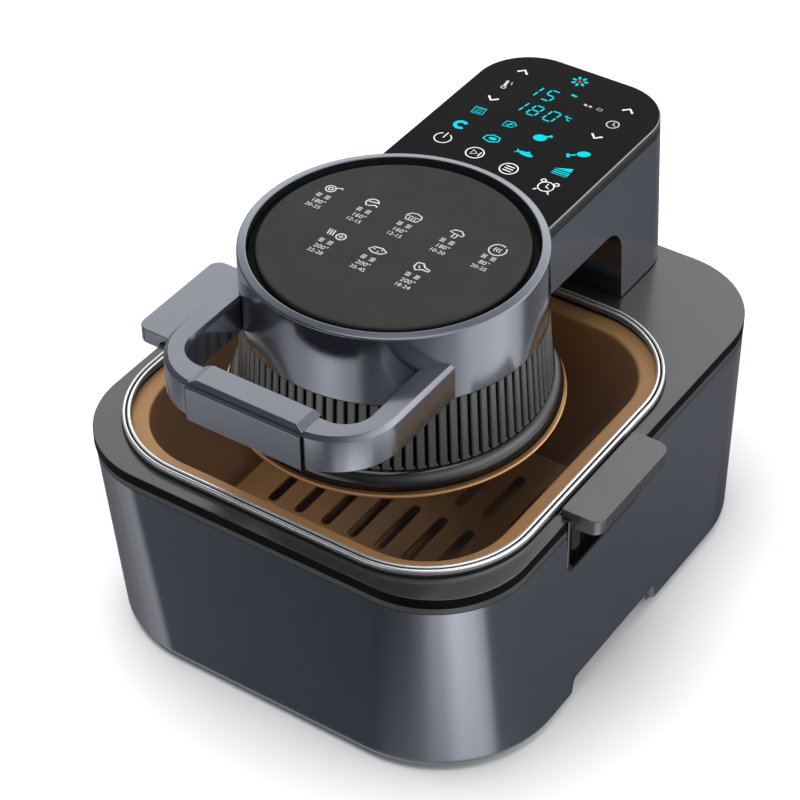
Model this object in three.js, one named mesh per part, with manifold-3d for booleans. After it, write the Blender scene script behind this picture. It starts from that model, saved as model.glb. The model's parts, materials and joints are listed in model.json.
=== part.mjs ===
// Counter-top deep fryer of the air-heated kind: a square base with a lift-out pot, and a hinged lid
// that carries a round fan-and-heater head, a front handle and a rear control tower.
// Millimetres, +Z up, -Y is the front with the D-handle, +Y the rear with the hinge.

import * as THREE from 'three';
import { mergeVertices } from 'three/addons/utils/BufferGeometryUtils.js';
import Module from 'manifold-3d';

const wasm = await Module();
wasm.setup();

// ---------------------------------------------------------------- driving dimensions
const GAP = 0.3;                                   // clearance between touching pieces
const ROUND = 40;                                  // facets of a full circle on the large round parts
const SCREW_FACETS = 8;

const deck = { width: 300, depth: 373, corner: 63, top: 155.5, skin: 3, band: 7.5 };
const base = { width: 308, depth: 366, corner: 82, shift: 5, bottom: 3, fillet: 4, wall: 3 };
const trim = { height: 4.7 };
const headY = -34.5;                               // centre of the head, the pot and the lid
const lid = { inner: 271.5, outer: 282, corner: 68, bottom: 157.2, top: 160.6, glass: 2.2 };
const pot = {
  lip: 273.2, lipCorner: 67, inner: 247, floor: 233, corner: 54, top: 154, bottom: 25.5, wall: 1.5,
};
const liner = { top: 270, floor: 256, corner: 64, bottom: 20.5, wall: 1.2, flange: 282 };

const head = { radius: 93, skirt: 93.6, top: 270.3, seam: 221.2, lip: 86.8, wall: 3 };
const disc = { radius: 82, top: 268.4, thickness: 4 };
const grille = { radius: 96.8, inner: 91.6, bottom: 175.3, slats: 88, gapShare: 0.45 };
const flange = { radius: 103.6, inner: 91, bottom: 162.1 };
const drum = { radius: 88, wall: 1.5, bottom: 163.5 };

const tower = {
  halfTop: 64.3, halfFoot: 69, rear: 198.7, corner: 38, front: 36, frontCorner: 8,
  shellTop: 253, panelTop: 261.3, panelSkin: 2.1, wall: 3,
  columnFront: 122.5, archTop: 212.5, archCorner: 18, foot: 156.6,
};
const hinge = { y: 191.5, z: 163.6, barrel: 6.5, pin: 3, half: 45, middle: 15.5, sweep: 7.2 };

const handle = {
  half: 77.6, front: -185.2, corner: 41, innerHalf: 62, innerFront: -166.4, innerCorner: 17.4,
  bottom: 221.8, top: 246.8, chamfer: 2.6, gripHalf: 40, gripSkin: 1.8,
};
const potHandle = { inner: 144.4, outer: 170.5, half: 42, corner: 12, bottom: 149.8, top: 161 };
const well = { half: 44, bottom: 112, inner: 141.2, outer: 150.4, wall: 1.8, corner: 8 };
const handHold = { front: -66, rear: 31, height: 14, corner: 5 };
const floorPlate = { bottom: 15, thickness: 2.5 };
const gland = { x: 58, z: 46, radius: 7 };
const footSpots = [[-108, -118], [108, -118], [-108, 132], [108, 132]];

// ---------------------------------------------------------------- materials
const paint = (color, roughness, metalness = 0) =>
  new THREE.MeshStandardMaterial({ color, roughness, metalness });

const looks = {
  slate: paint(0x4b4e58, 0.35, 0.35),
  handle: paint(0x8b8f98, 0.4, 0.2),
  black: paint(0x161617, 0.3),
  deckTop: paint(0x555555, 0.25),
  trimGrey: paint(0x6a6c70, 0.35, 0.4),
  chrome: paint(0xd8d8d8, 0.12, 1),
  bronze: paint(0x8a5c36, 0.35, 0.6),
  copper: paint(0xc08a55, 0.25, 0.9),
  steel: paint(0xa8a9ac, 0.35, 0.9),
  glass: paint(0xdfe6e6, 0.05),
  menu: paint(0x3c3c3c, 0.45),
  touch: paint(0x1c1c1c, 0.1),
  plateGrey: paint(0x66676a, 0.45),
  rubber: paint(0x1a1a1a, 0.8),
  board: paint(0x1d5a34, 0.5),
};

// ---------------------------------------------------------------- shape helpers
function roundedRect(width, depth, radius, centreY = 0) {
  return cornered(-width / 2, width / 2, centreY - depth / 2, centreY + depth / 2, radius, radius);
}

function cornered(left, right, front, rear, frontRadius, rearRadius) {
  const shape = new THREE.Shape();
  shape.moveTo(left + frontRadius, front);
  shape.lineTo(right - frontRadius, front);
  shape.absarc(right - frontRadius, front + frontRadius, frontRadius, -Math.PI / 2, 0, false);
  shape.lineTo(right, rear - rearRadius);
  shape.absarc(right - rearRadius, rear - rearRadius, rearRadius, 0, Math.PI / 2, false);
  shape.lineTo(left + rearRadius, rear);
  shape.absarc(left + rearRadius, rear - rearRadius, rearRadius, Math.PI / 2, Math.PI, false);
  shape.lineTo(left, front + frontRadius);
  shape.absarc(left + frontRadius, front + frontRadius, frontRadius, Math.PI, 1.5 * Math.PI, false);
  return shape;
}

// A plan outline pulled up from z = low to z = high.
function slab(shape, low, high, segments = 4) {
  const geometry = new THREE.ExtrudeGeometry(shape, {
    depth: high - low, bevelEnabled: false, curveSegments: segments,
  });
  geometry.translate(0, 0, low);
  return geometry;
}

// An outline in the Y-Z plane pulled along X from left to right.
function sideSlab(shape, left, right, segments = 4) {
  const geometry = new THREE.ExtrudeGeometry(shape, {
    depth: right - left, bevelEnabled: false, curveSegments: segments,
  });
  geometry.rotateX(Math.PI / 2);
  geometry.rotateZ(Math.PI / 2);
  geometry.translate(left, 0, 0);
  return geometry;
}

function block(x0, x1, y0, y1, z0, z1) {
  const geometry = new THREE.BoxGeometry(x1 - x0, y1 - y0, z1 - z0);
  geometry.translate((x0 + x1) / 2, (y0 + y1) / 2, (z0 + z1) / 2);
  return geometry;
}

// A closed profile of [radius, z] pairs turned about the vertical axis through (x, y).
function turned(profile, x = 0, y = headY, segments = ROUND) {
  const points = profile.map(([radius, z]) => new THREE.Vector2(radius, z));
  points.push(points[0].clone());
  const geometry = new THREE.LatheGeometry(points, segments);
  geometry.rotateX(Math.PI / 2);
  geometry.translate(x, y, 0);
  return geometry;
}

function ring(inner, outer, low, high, x = 0, y = headY, segments = ROUND) {
  return turned([[inner, low], [outer, low], [outer, high], [inner, high]], x, y, segments);
}

function post(radius, low, high, x = 0, y = headY, segments = ROUND) {
  const geometry = new THREE.CylinderGeometry(radius, radius, high - low, segments);
  geometry.rotateX(Math.PI / 2);
  geometry.translate(x, y, (low + high) / 2);
  return geometry;
}

function barAlongX(radius, left, right, y, z, segments = 24) {
  const geometry = new THREE.CylinderGeometry(radius, radius, right - left, segments);
  geometry.rotateZ(Math.PI / 2);
  geometry.translate((left + right) / 2, y, z);
  return geometry;
}

function barAlongY(radius, front, rear, x, z, segments = 16) {
  const geometry = new THREE.CylinderGeometry(radius, radius, rear - front, segments);
  geometry.translate(x, (front + rear) / 2, z);
  return geometry;
}

// The outline's points without the doubled ones where its arcs and lines meet.
function outlinePoints(shape, segments) {
  const points = shape.getPoints(segments);
  return points.filter((p, i) => p.distanceTo(points[(i + 1) % points.length]) > 1e-4);
}

// Stacked plan outlines, each with its own z, skinned into one closed body.
function loft(sections, segments = 4) {
  const rings = sections.map(({ shape, z }) =>
    outlinePoints(shape, segments).map((p) => new THREE.Vector3(p.x, p.y, z)));
  const count = rings[0].length;
  const positions = rings.flat().flatMap((p) => [p.x, p.y, p.z]);
  const index = [];
  for (let level = 0; level + 1 < rings.length; level += 1) {
    for (let i = 0; i < count; i += 1) {
      const next = (i + 1) % count;
      const a = level * count + i;
      const b = level * count + next;
      index.push(a, b, b + count, a, b + count, a + count);
    }
  }
  const last = (rings.length - 1) * count;
  for (let i = 1; i + 1 < count; i += 1) {
    index.push(0, i + 1, i);
    index.push(last, last + i, last + i + 1);
  }
  const geometry = new THREE.BufferGeometry();
  geometry.setAttribute('position', new THREE.Float32BufferAttribute(positions, 3));
  geometry.setIndex(index);
  return geometry;
}

// ---------------------------------------------------------------- joining and cutting
function solid(geometry) {
  const bare = geometry.clone();
  bare.deleteAttribute('normal');
  bare.deleteAttribute('uv');
  const merged = mergeVertices(bare, 1e-4);
  return new wasm.Manifold(new wasm.Mesh({
    numProp: 3,
    vertProperties: new Float32Array(merged.attributes.position.array),
    triVerts: new Uint32Array(merged.index.array),
  }));
}

const join = (...parts) => parts.map(asSolid).reduce((whole, part) => whole.add(part));
const cut = (whole, ...parts) => parts.map(asSolid).reduce((left, part) => left.subtract(part), asSolid(whole));
const common = (a, b) => asSolid(a).intersect(asSolid(b));

function asSolid(thing) {
  return thing.isBufferGeometry ? solid(thing) : thing;
}

function asGeometry(thing) {
  if (thing.isBufferGeometry) return thing;
  const mesh = thing.getMesh();
  const geometry = new THREE.BufferGeometry();
  geometry.setAttribute('position', new THREE.Float32BufferAttribute(mesh.vertProperties, 3));
  geometry.setIndex(new THREE.Uint32BufferAttribute(mesh.triVerts, 1));
  return geometry;
}

const fryer = new THREE.Group();
const baseGroup = new THREE.Group();
const lidGroup = new THREE.Group();
const rotorGroup = new THREE.Group();
fryer.add(baseGroup, lidGroup);
lidGroup.add(rotorGroup);

function place(group, name, thing, material) {
  const mesh = new THREE.Mesh(asGeometry(thing), material);
  mesh.name = name;
  group.add(mesh);
}

const sides = [{ side: 'left', sign: -1 }, { side: 'right', sign: 1 }];

// ---------------------------------------------------------------- base: housing, deck and liner
// The housing outline at height z, blended between the deck's outline and the wider foot.
function housingOutline(z, inset) {
  const t = (deck.top - z) / (deck.top - base.bottom);
  const mix = (a, b) => a + (b - a) * t;
  return roundedRect(
    mix(deck.width, base.width) - 2 * inset,
    mix(deck.depth, base.depth) - 2 * inset,
    mix(deck.corner, base.corner) - inset,
    mix(0, base.shift),
  );
}

// A room for one pot handle, open at the top and at the side wall.
function handleRoom(sign, half, low, high, from, to) {
  const room = block(from, to, headY - half, headY + half, low, high);
  if (sign < 0) room.rotateZ(Math.PI).translate(0, 2 * headY, 0);
  return room;
}

function handleNotches(half, low, high, from) {
  return sides.map(({ sign }) => handleRoom(sign, half, low, high, from, deck.width));
}

function outerHousing() {
  const top = deck.top - deck.band - trim.height - 2 * GAP;
  const levels = [
    { z: base.bottom, inset: base.fillet * 0.6 },
    { z: base.bottom + base.fillet * 0.3, inset: base.fillet * 0.15 },
    { z: base.bottom + base.fillet, inset: 0 },
    { z: top, inset: 0 },
  ];
  const outside = loft(levels.map(({ z, inset }) => ({ z, shape: housingOutline(z, inset) })));
  const inside = loft([base.bottom - 1, top + 1].map((z) => ({ z, shape: housingOutline(z, base.wall) })));
  const arch = sideSlab(
    cornered(handHold.front, handHold.rear, -handHold.height, handHold.height, 1, handHold.corner),
    -base.width, base.width,
  );
  const glandHole = barAlongY(gland.radius + GAP, base.depth / 2 - 20, base.depth, gland.x, gland.z);
  return cut(
    outside, inside, arch, glandHole,
    ...handleNotches(well.half + GAP, well.bottom - GAP, deck.top, well.inner - GAP),
  );
}

function bottomPlate() {
  const z = floorPlate.bottom;
  const plate = loft([z, z + floorPlate.thickness].map((level) => ({
    z: level, shape: housingOutline(level, base.wall + GAP),
  })));
  const vents = [];
  for (let row = 0; row < 5; row += 1) {
    const y = 112 + row * 11;
    vents.push(block(-58, -12, y, y + 5, z - 1, z + 5), block(12, 58, y, y + 5, z - 1, z + 5));
  }
  return cut(plate, ...vents);
}

function deckPlate() {
  const low = deck.top - deck.band;
  const outside = slab(roundedRect(deck.width, deck.depth, deck.corner), low, deck.top);
  const under = slab(
    roundedRect(deck.width - 2 * deck.skin, deck.depth - 2 * deck.skin, deck.corner - deck.skin),
    low - 1, deck.top - deck.skin,
  );
  const mouth = pot.lip + 2 * GAP;
  const opening = slab(roundedRect(mouth, mouth, pot.lipCorner + GAP, headY), low, deck.top + 1);
  const wireHole = post(9, low, deck.top + 1, 30, 150, 20);
  const open = cut(outside, under, opening, wireHole, ...handleNotches(well.half - 0.5, low - 1, deck.top + 1, 120));
  return cut(
    join(open, ...sides.map(({ sign }) => handleWell(sign))),
    ...sides.map(({ sign }) => handleWellHollow(sign)),
  );
}

// The trim line under the deck is broken by the two wells, so it is a front and a rear piece.
function deckTrim(front) {
  const high = deck.top - deck.band - GAP;
  const low = high - trim.height;
  const outside = loft([low, high].map((z) => ({ z, shape: housingOutline(z, 0) })));
  const inside = loft([low - 1, high + 1].map((z) => ({ z, shape: housingOutline(z, base.wall) })));
  const otherHalf = front ? block(-200, 200, headY, 300, 100, 200) : block(-200, 200, -300, headY, 100, 200);
  return cut(outside, inside, otherHalf, ...handleNotches(well.half + GAP, low - 1, high + 1, 120));
}

function innerLiner() {
  const top = deck.top - deck.skin - GAP;
  const outer = (z, size, radius) => ({ z, shape: roundedRect(size, size, radius, headY) });
  const wall = 2 * liner.wall;
  const cup = loft([
    outer(liner.bottom, liner.floor - 14, liner.corner - 10),
    outer(liner.bottom + 6, liner.floor, liner.corner - 4),
    outer(top, liner.top + wall, liner.corner),
  ]);
  const hollow = loft([
    outer(liner.bottom + liner.wall, liner.floor - wall - 14, liner.corner - 10),
    outer(liner.bottom + 6 + liner.wall, liner.floor - wall, liner.corner - 4),
    outer(top + 1, liner.top, liner.corner),
  ]);
  const rim = slab(roundedRect(liner.flange, liner.flange, liner.corner + 6, headY), top - liner.wall, top);
  const drain = post(4, liner.bottom - 2, liner.bottom + 4, 0, headY, 12);
  return cut(join(cup, rim), hollow, drain, ...handleNotches(well.half + GAP, top - 6, top + 1, 130));
}

// The well under each pot handle is moulded in one with the deck, which it ties together.
function wellOutline(thin, high) {
  return cornered(
    headY - well.half + thin, headY + well.half - thin, well.bottom + thin, high, well.corner - thin, 0.5,
  );
}

function mirrored(thing, sign) {
  return sign > 0 ? asSolid(thing) : asSolid(thing).mirror([1, 0, 0]);
}

function handleWell(sign) {
  return mirrored(sideSlab(wellOutline(0, deck.top), well.inner, well.outer), sign);
}

function handleWellHollow(sign) {
  const deep = sideSlab(wellOutline(well.wall, deck.top + 5), well.inner + well.wall, deck.width);
  const mouth = sideSlab(wellOutline(well.wall, deck.top + 5), 120, deck.width);
  const upper = block(100, 200, -200, 100, deck.top - deck.band - trim.height, 200);
  return mirrored(join(deep, common(mouth, upper)), sign);
}

function foot([x, y]) {
  return turned([[0, 0], [10, 0], [12, 2], [12, floorPlate.bottom - GAP], [0, floorPlate.bottom - GAP]], x, y, 24);
}

function cordGland() {
  const y = base.shift + base.depth / 2;
  return cut(
    join(
      barAlongY(gland.radius, y - 8, y + 1, gland.x, gland.z),
      barAlongY(gland.radius + 3, y + 0.6, y + 5, gland.x, gland.z),
      barAlongY(gland.radius + 3, y - 9.5, y - 6.5, gland.x, gland.z),
    ),
    barAlongY(3.6, y - 20, y + 20, gland.x, gland.z),
  );
}

function terminalBlock() {
  const z = floorPlate.bottom + floorPlate.thickness + GAP;
  const body = block(70, 114, 158, 172, z, z + 14);
  const wells = [0, 1, 2].map((i) => post(3.2, z + 6, z + 20, 78 + i * 14, 165, 12));
  return cut(body, ...wells);
}

// ---------------------------------------------------------------- hinge
function hingeLeaf() {
  const wallY = deck.depth / 2 + 1.6;
  const leaf = block(-hinge.half, hinge.half, wallY, wallY + 3, 122, hinge.z);
  const middle = block(-hinge.middle - 0.6, hinge.middle + 0.6, 180, 205, hinge.z - hinge.sweep - 2, 200);
  const barrels = barAlongX(hinge.barrel, -hinge.half, hinge.half, hinge.y, hinge.z);
  const bore = barAlongX(hinge.pin + GAP, -60, 60, hinge.y, hinge.z, 20);
  const screwHoles = sides.map(({ sign }) => barAlongY(2.4, 180, 200, sign * 28, 133));
  return cut(join(leaf, barrels), middle, bore, ...screwHoles);
}

function hingePin() {
  return barAlongX(hinge.pin, -hinge.half - 1, hinge.half + 1, hinge.y, hinge.z, 20);
}

function hingeScrew(sign) {
  const face = deck.depth / 2 + 4.6;
  return join(
    barAlongY(2, face - 4, face + 1, sign * 28, 133, SCREW_FACETS),
    barAlongY(4, face + GAP, face + 2.4, sign * 28, 133, SCREW_FACETS),
  );
}

function towerBasePlate() {
  const low = tower.foot + 2;
  const high = low + 2.6;
  const inset = tower.wall + 1;
  const plate = slab(cornered(
    -tower.halfFoot + inset, tower.halfFoot - inset, tower.columnFront + inset, 183, 2, 20,
  ), low, high);
  const tongue = block(-hinge.middle, hinge.middle, 170, hinge.y, low, high);
  const barrel = barAlongX(hinge.barrel, -hinge.middle, hinge.middle, hinge.y, hinge.z);
  const bore = barAlongX(hinge.pin + GAP, -30, 30, hinge.y, hinge.z, 20);
  const wireHole = post(9, low - 1, high + 1, 30, 150, 20);
  return cut(join(plate, tongue, barrel), bore, wireHole);
}

function lidSensor() {
  return block(-46, -30, 146, 158, deck.top - deck.skin - 7, deck.top - deck.skin - GAP);
}

// ---------------------------------------------------------------- pot and its handles
function potBody() {
  const at = (z, size, radius) => ({ z, shape: roundedRect(size, size, radius, headY) });
  const twice = 2 * pot.wall;
  const lipLow = pot.top - 1.5;
  const outside = loft([
    at(pot.bottom, pot.floor - 22, pot.corner - 16),
    at(pot.bottom + 4, pot.floor - 6, pot.corner - 8),
    at(pot.bottom + 11, pot.floor + twice, pot.corner - 4),
    at(lipLow, pot.inner + twice, pot.corner),
  ]);
  const lip = slab(roundedRect(pot.lip, pot.lip, pot.lipCorner, headY), lipLow, pot.top);
  const inside = loft([
    at(pot.bottom + pot.wall, pot.floor - 22 - pot.wall, pot.corner - 17),
    at(pot.bottom + 4 + pot.wall, pot.floor - 9, pot.corner - 9),
    at(pot.bottom + 11 + pot.wall, pot.floor, pot.corner - 5),
    at(pot.top + 0.5, pot.inner + 0.2, pot.corner - 1),
  ]);
  return cut(join(outside, lip), inside);
}

function crisperPlate() {
  const size = 222;
  const low = pot.bottom + 14;
  const plate = slab(roundedRect(size, size, 46, headY), low, low + 2);
  const slots = [];
  for (let column = -4; column <= 4; column += 1) {
    for (let row = -1; row <= 1; row += 1) {
      const x = column * 21;
      const y = headY + row * 62;
      slots.push(block(x - 3.5, x + 3.5, y - 24, y + 24, low - 1, low + 3));
    }
  }
  const legs = [[-82, -82], [82, -82], [-82, 82], [82, 82]].map(([x, y]) =>
    post(4.5, pot.bottom + pot.wall + GAP, low + 0.5, x, headY + y, 12));
  return join(cut(plate, ...slots), ...legs);
}

function potBracket(sign) {
  const span = potHandle.half - 8;
  const wallX = pot.inner / 2 + pot.wall + GAP;
  const high = potHandle.bottom - GAP;
  const bracket = cut(
    join(
      block(wallX, 160, headY - span, headY + span, high - 2.4, high),
      block(145.2, 147.8, headY - span, headY + span, 120, high),
    ),
    block(144, 149, headY - span + 10, headY + span - 10, 119, 136),
    post(1.9, 140, 152, 153.5, headY, 16),
  );
  return mirrored(bracket, sign);
}

function potHandlePlate(sign) {
  const shape = new THREE.Shape();
  const { inner, outer, corner } = potHandle;
  const front = headY - potHandle.half;
  const rear = headY + potHandle.half;
  shape.moveTo(inner, front);
  shape.lineTo(outer - corner, front);
  shape.absarc(outer - corner, front + corner, corner, -Math.PI / 2, 0, false);
  shape.lineTo(outer, rear - corner);
  shape.absarc(outer - corner, rear - corner, corner, 0, Math.PI / 2, false);
  shape.lineTo(inner, rear);
  shape.closePath();
  const plate = cut(
    slab(shape, potHandle.bottom, potHandle.top),
    post(1.7, potHandle.bottom - 1, potHandle.bottom + 7, 153.5, headY, 16),
  );
  return mirrored(plate, sign);
}

function handleScrew(sign) {
  const underside = potHandle.bottom - GAP - 2.4;
  return join(
    post(3.4, underside - 2.6, underside - GAP, sign * 153.5, headY, SCREW_FACETS),
    post(1.4, underside - 1, potHandle.bottom + 6, sign * 153.5, headY, SCREW_FACETS),
  );
}

// ---------------------------------------------------------------- lid: rim, glass and seals
function lidRim() {
  const outside = loft([
    { z: lid.bottom, shape: roundedRect(lid.outer, lid.outer, lid.corner + 5, headY) },
    { z: lid.top - 1, shape: roundedRect(lid.outer, lid.outer, lid.corner + 5, headY) },
    { z: lid.top, shape: roundedRect(lid.outer - 2, lid.outer - 2, lid.corner + 4, headY) },
  ]);
  const opening = slab(roundedRect(lid.inner, lid.inner, lid.corner, headY), lid.bottom - 1, lid.top + 1);
  const glassSize = lid.inner + 6;
  const groove = slab(roundedRect(glassSize, glassSize, lid.corner + 3, headY), lid.bottom + 0.4, lid.top - 0.6);
  return cut(outside, opening, groove);
}

function glassLid() {
  const size = lid.inner + 6 - 2 * GAP;
  const low = lid.bottom + 0.4 + GAP / 2;
  const pane = slab(roundedRect(size, size, lid.corner + 3, headY), low, low + lid.glass);
  return cut(pane, post(89.6, low - 1, low + 5));
}

const glassTop = lid.bottom + 0.4 + GAP / 2 + lid.glass;

function lidGasket() {
  const outer = lid.outer + 1;
  const inner = lid.inner + 5;
  const high = lid.bottom - GAP;
  return cut(
    slab(roundedRect(outer, outer, lid.corner + 5.5, headY), high - 1.1, high),
    slab(roundedRect(inner, inner, lid.corner + 3, headY), high - 3, high + 1),
  );
}

function clampRing() {
  const high = lid.bottom + 0.4 + GAP / 2 - GAP;
  return ring(87, 98, high - 2.4, high);
}

// ---------------------------------------------------------------- lid: the round head
function reflectorRing() {
  return ring(89.6, 104.6, glassTop + GAP, flange.bottom - GAP);
}

function headFlange() {
  const high = grille.bottom - GAP;
  const shoulder = flange.bottom + 1.2;
  const neck = grille.radius;
  const profile = [[flange.inner, flange.bottom], [flange.radius - 0.8, flange.bottom]];
  for (let i = 0; i <= 6; i += 1) {
    const angle = (Math.PI * i) / 12;
    profile.push([
      neck + (flange.radius - neck) * Math.cos(angle),
      shoulder + (high - shoulder) * Math.sin(angle),
    ]);
  }
  profile.push([flange.inner, high]);
  return turned(profile);
}

function grilleRing() {
  const high = head.seam - GAP;
  const { inner, radius, bottom, slats } = grille;
  const wall = ring(inner, radius, bottom, high, 0, headY, slats);
  const pitch = (2 * Math.PI) / slats;
  const slotWidth = radius * pitch * grille.gapShare;
  const slots = [];
  for (let i = 0; i < slats; i += 1) {
    const slot = new THREE.BoxGeometry(12, slotWidth, high - bottom - 7);
    slot.translate((inner + radius) / 2, 0, (high + bottom) / 2);
    slot.rotateZ(i * pitch + pitch / 4);
    slot.translate(0, headY, 0);
    slots.push(slot);
  }
  return cut(wall, ...slots);
}

function fanDrum() {
  const { radius, wall, bottom } = drum;
  const high = head.seam + 6;
  const vents = [];
  for (let i = 0; i < 8; i += 1) {
    const vent = new THREE.BoxGeometry(14, 14, 24);
    vent.translate(radius, 0, (bottom + high) / 2 + 8);
    vent.rotateZ((i * Math.PI) / 4);
    vent.translate(0, headY, 0);
    vents.push(vent);
  }
  return cut(ring(radius - wall, radius, bottom, high), ...vents);
}

function headShell() {
  const { radius, skirt, top, seam, lip, wall } = head;
  const shell = turned([
    [skirt - wall, seam], [skirt, seam], [radius, top - 2.4], [radius - 0.7, top - 0.7], [radius - 2.4, top],
    [lip + 1, top], [lip, top - 1], [lip, top - 9], [lip + 1.5, top - 9], [radius - wall, top - 6],
  ]);
  const wireWindow = block(-30, 30, headY + 60, headY + 120, 228, 250);
  const boltHoles = sides.map(({ sign }) => barAlongY(2.2, -130, -60, sign * 70, 234, 12));
  return cut(shell, wireWindow, ...boltHoles);
}

function headCap() {
  const low = head.top - 8.6;
  return turned([
    [0, low], [head.lip - GAP, low], [head.lip - GAP, low + 3], [disc.radius + 0.6, low + 3],
    [disc.radius + 0.6, low + 2], [0, low + 2],
  ]);
}

function menuDisc() {
  const { radius, top, thickness } = disc;
  const low = top - thickness;
  return turned([
    [0, low], [radius, low], [radius, top - 1.4], [radius - 0.4, top - 0.5], [radius - 1.4, top], [0, top],
  ]);
}

function heatShield() {
  const edge = drum.radius - drum.wall - GAP;
  return turned([[6, 189], [edge, 189], [edge, 194], [edge - 1.2, 194], [edge - 1.2, 190.2], [6, 190.2]]);
}

function motorBracket() {
  const plate = post(36, 196.5, 199, 0, headY, 32);
  const arms = [0, 1, 2].map((i) => {
    const arm = block(30, drum.radius - drum.wall - 2, -7, 7, 196.5, 199);
    return arm.rotateZ((i * 2 * Math.PI) / 3 + 0.5).translate(0, headY, 0);
  });
  return cut(join(plate, ...arms), post(8, 190, 205, 0, headY, 16));
}

function fanMotor() {
  return turned([
    [4.6, 199.3], [12, 199.3], [12, 203], [27, 203], [29, 205], [29, 228], [27, 230], [12, 230], [12, 235], [4.6, 235],
  ], 0, headY, 24);
}

function fanShaft() {
  return join(
    post(4, 164.5, 256, 0, headY, 20),
    post(5.5, 239.5, 241.5, 0, headY, 20),
  );
}

function bladedFan({ low, high, hub, tip, blades, sweep, bore }) {
  const wings = [];
  for (let i = 0; i < blades; i += 1) {
    const wing = new THREE.BoxGeometry(tip - hub + 4, 1.6, high - low);
    wing.rotateZ(sweep);
    wing.translate((tip + hub) / 2 - 2, 0, (low + high) / 2);
    wing.rotateZ((i * 2 * Math.PI) / blades);
    wing.translate(0, headY, 0);
    wings.push(wing);
  }
  const backing = post(tip * 0.72, high - 1.4, high, 0, headY, 24);
  const boss = post(hub, low, high, 0, headY, 20);
  return cut(join(boss, backing, ...wings), post(bore, low - 5, high + 5, 0, headY, 20));
}

// Two flat turns of sheathed heater tube with both ends bent up to their terminals.
function heatingElement() {
  const level = 168;
  const turns = 2;
  const innerTurn = 54;
  const outerTurn = 78;
  const points = [new THREE.Vector3(innerTurn, 0, 186), new THREE.Vector3(innerTurn, 0, level + 7)];
  const steps = 32;
  for (let i = 1; i <= steps; i += 1) {
    const share = i / steps;
    const angle = 0.16 + share * (turns * 2 * Math.PI - 0.32);
    const radius = innerTurn + (outerTurn - innerTurn) * share;
    points.push(new THREE.Vector3(radius * Math.cos(angle), radius * Math.sin(angle), level));
  }
  points.push(new THREE.Vector3(outerTurn, 0, level + 7), new THREE.Vector3(outerTurn, 0, 186));
  const path = new THREE.CatmullRomCurve3(points);
  const section = new THREE.Shape();
  section.absarc(0, 0, 3.2, 0, 2 * Math.PI, false);
  const tube = new THREE.ExtrudeGeometry(section, {
    steps: 48, bevelEnabled: false, extrudePath: path, curveSegments: 3,
  });
  return tube.translate(0, headY, 0);
}

function fanGuard() {
  const low = glassTop + GAP;
  const plate = post(89, low, low + 1.4);
  const slots = [];
  for (const { from, to, count } of [{ from: 16, to: 46, count: 10 }, { from: 52, to: 82, count: 20 }]) {
    for (let i = 0; i < count; i += 1) {
      const slot = new THREE.BoxGeometry(to - from, (from * 3.4) / count, 8);
      slot.translate((from + to) / 2, 0, low);
      slot.rotateZ((i * 2 * Math.PI) / count);
      slot.translate(0, headY, 0);
      slots.push(slot);
    }
  }
  return cut(plate, ...slots);
}

function temperatureProbe() {
  return post(1.9, 164, 188, 34, headY + 76.8, 12);
}

// ---------------------------------------------------------------- lid: front D-handle
function loopOutline(half, front, corner) {
  return cornered(-half, half, front, headY, corner, 2);
}

function handleFrame() {
  const { half, front, corner, innerHalf, innerFront, innerCorner, bottom, top, chamfer } = handle;
  const level = (z, inset) => ({ z, shape: loopOutline(half - inset, front + inset, corner - inset) });
  const outside = loft([level(bottom, 1.4), level(bottom + 1.4, 0), level(top - chamfer, 0), level(top, chamfer)]);
  const inside = slab(loopOutline(innerHalf, innerFront, innerCorner), bottom - 1, top + 1);
  const boltHoles = sides.map(({ sign }) => post(1.9, bottom - 1, bottom + 10, sign * 30, gripMiddle, 12));
  return cut(outside, inside, post(head.skirt + GAP, bottom - 1, top + 1), ...boltHoles);
}

const gripMiddle = (handle.front + handle.innerFront) / 2;

// The sleeve round the middle of the loop, with sloped ends on its top.
function handleGrip() {
  const { front, innerFront, bottom, top, gripHalf, gripSkin } = handle;
  const section = cornered(front - gripSkin, innerFront + gripSkin, bottom - gripSkin, top + gripSkin + 0.6, 2.5, 2.5);
  const core = cornered(front - GAP, innerFront + GAP, bottom - GAP, top + GAP, 0.3, 0.3);
  const sleeve = sideSlab(section, -gripHalf, gripHalf);
  const ramp = sides.map(({ sign }) => {
    const wedge = block(-3, 9, -220, -140, 0, 9);
    wedge.rotateY(sign * 0.62);
    return wedge.translate(sign * gripHalf, 0, top + 1.6).translate(sign > 0 ? 0 : -6, 0, 0);
  });
  const boltHoles = sides.map(({ sign }) => post(2, bottom - 6, bottom + 2, sign * 30, gripMiddle, 12));
  return cut(sleeve, sideSlab(core, -60, 60), ...ramp, ...boltHoles);
}

function gripScrew(sign) {
  const low = handle.bottom - handle.gripSkin;
  return join(
    post(3.2, low - 1.9, low - GAP, sign * 30, gripMiddle, SCREW_FACETS),
    post(1.5, low - 1, handle.bottom + 8, sign * 30, gripMiddle, SCREW_FACETS),
  );
}

// ---------------------------------------------------------------- lid: rear arm, column and panel
function towerPlan(inset) {
  return cornered(
    -tower.halfTop + inset, tower.halfTop - inset, tower.front + inset, tower.rear - inset,
    tower.frontCorner - inset, tower.corner - inset,
  );
}

// The tower's outline pulled down from the top, its sides spreading a little towards the foot.
function towerSolid(inset, low, high) {
  const geometry = slab(towerPlan(inset), low, high, 5);
  const position = geometry.attributes.position;
  const spread = (tower.halfFoot - tower.halfTop) / tower.halfTop;
  for (let i = 0; i < position.count; i += 1) {
    const t = (tower.panelTop - position.getZ(i)) / (tower.panelTop - tower.foot);
    position.setX(i, position.getX(i) * (1 + spread * t));
  }
  return geometry;
}

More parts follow.
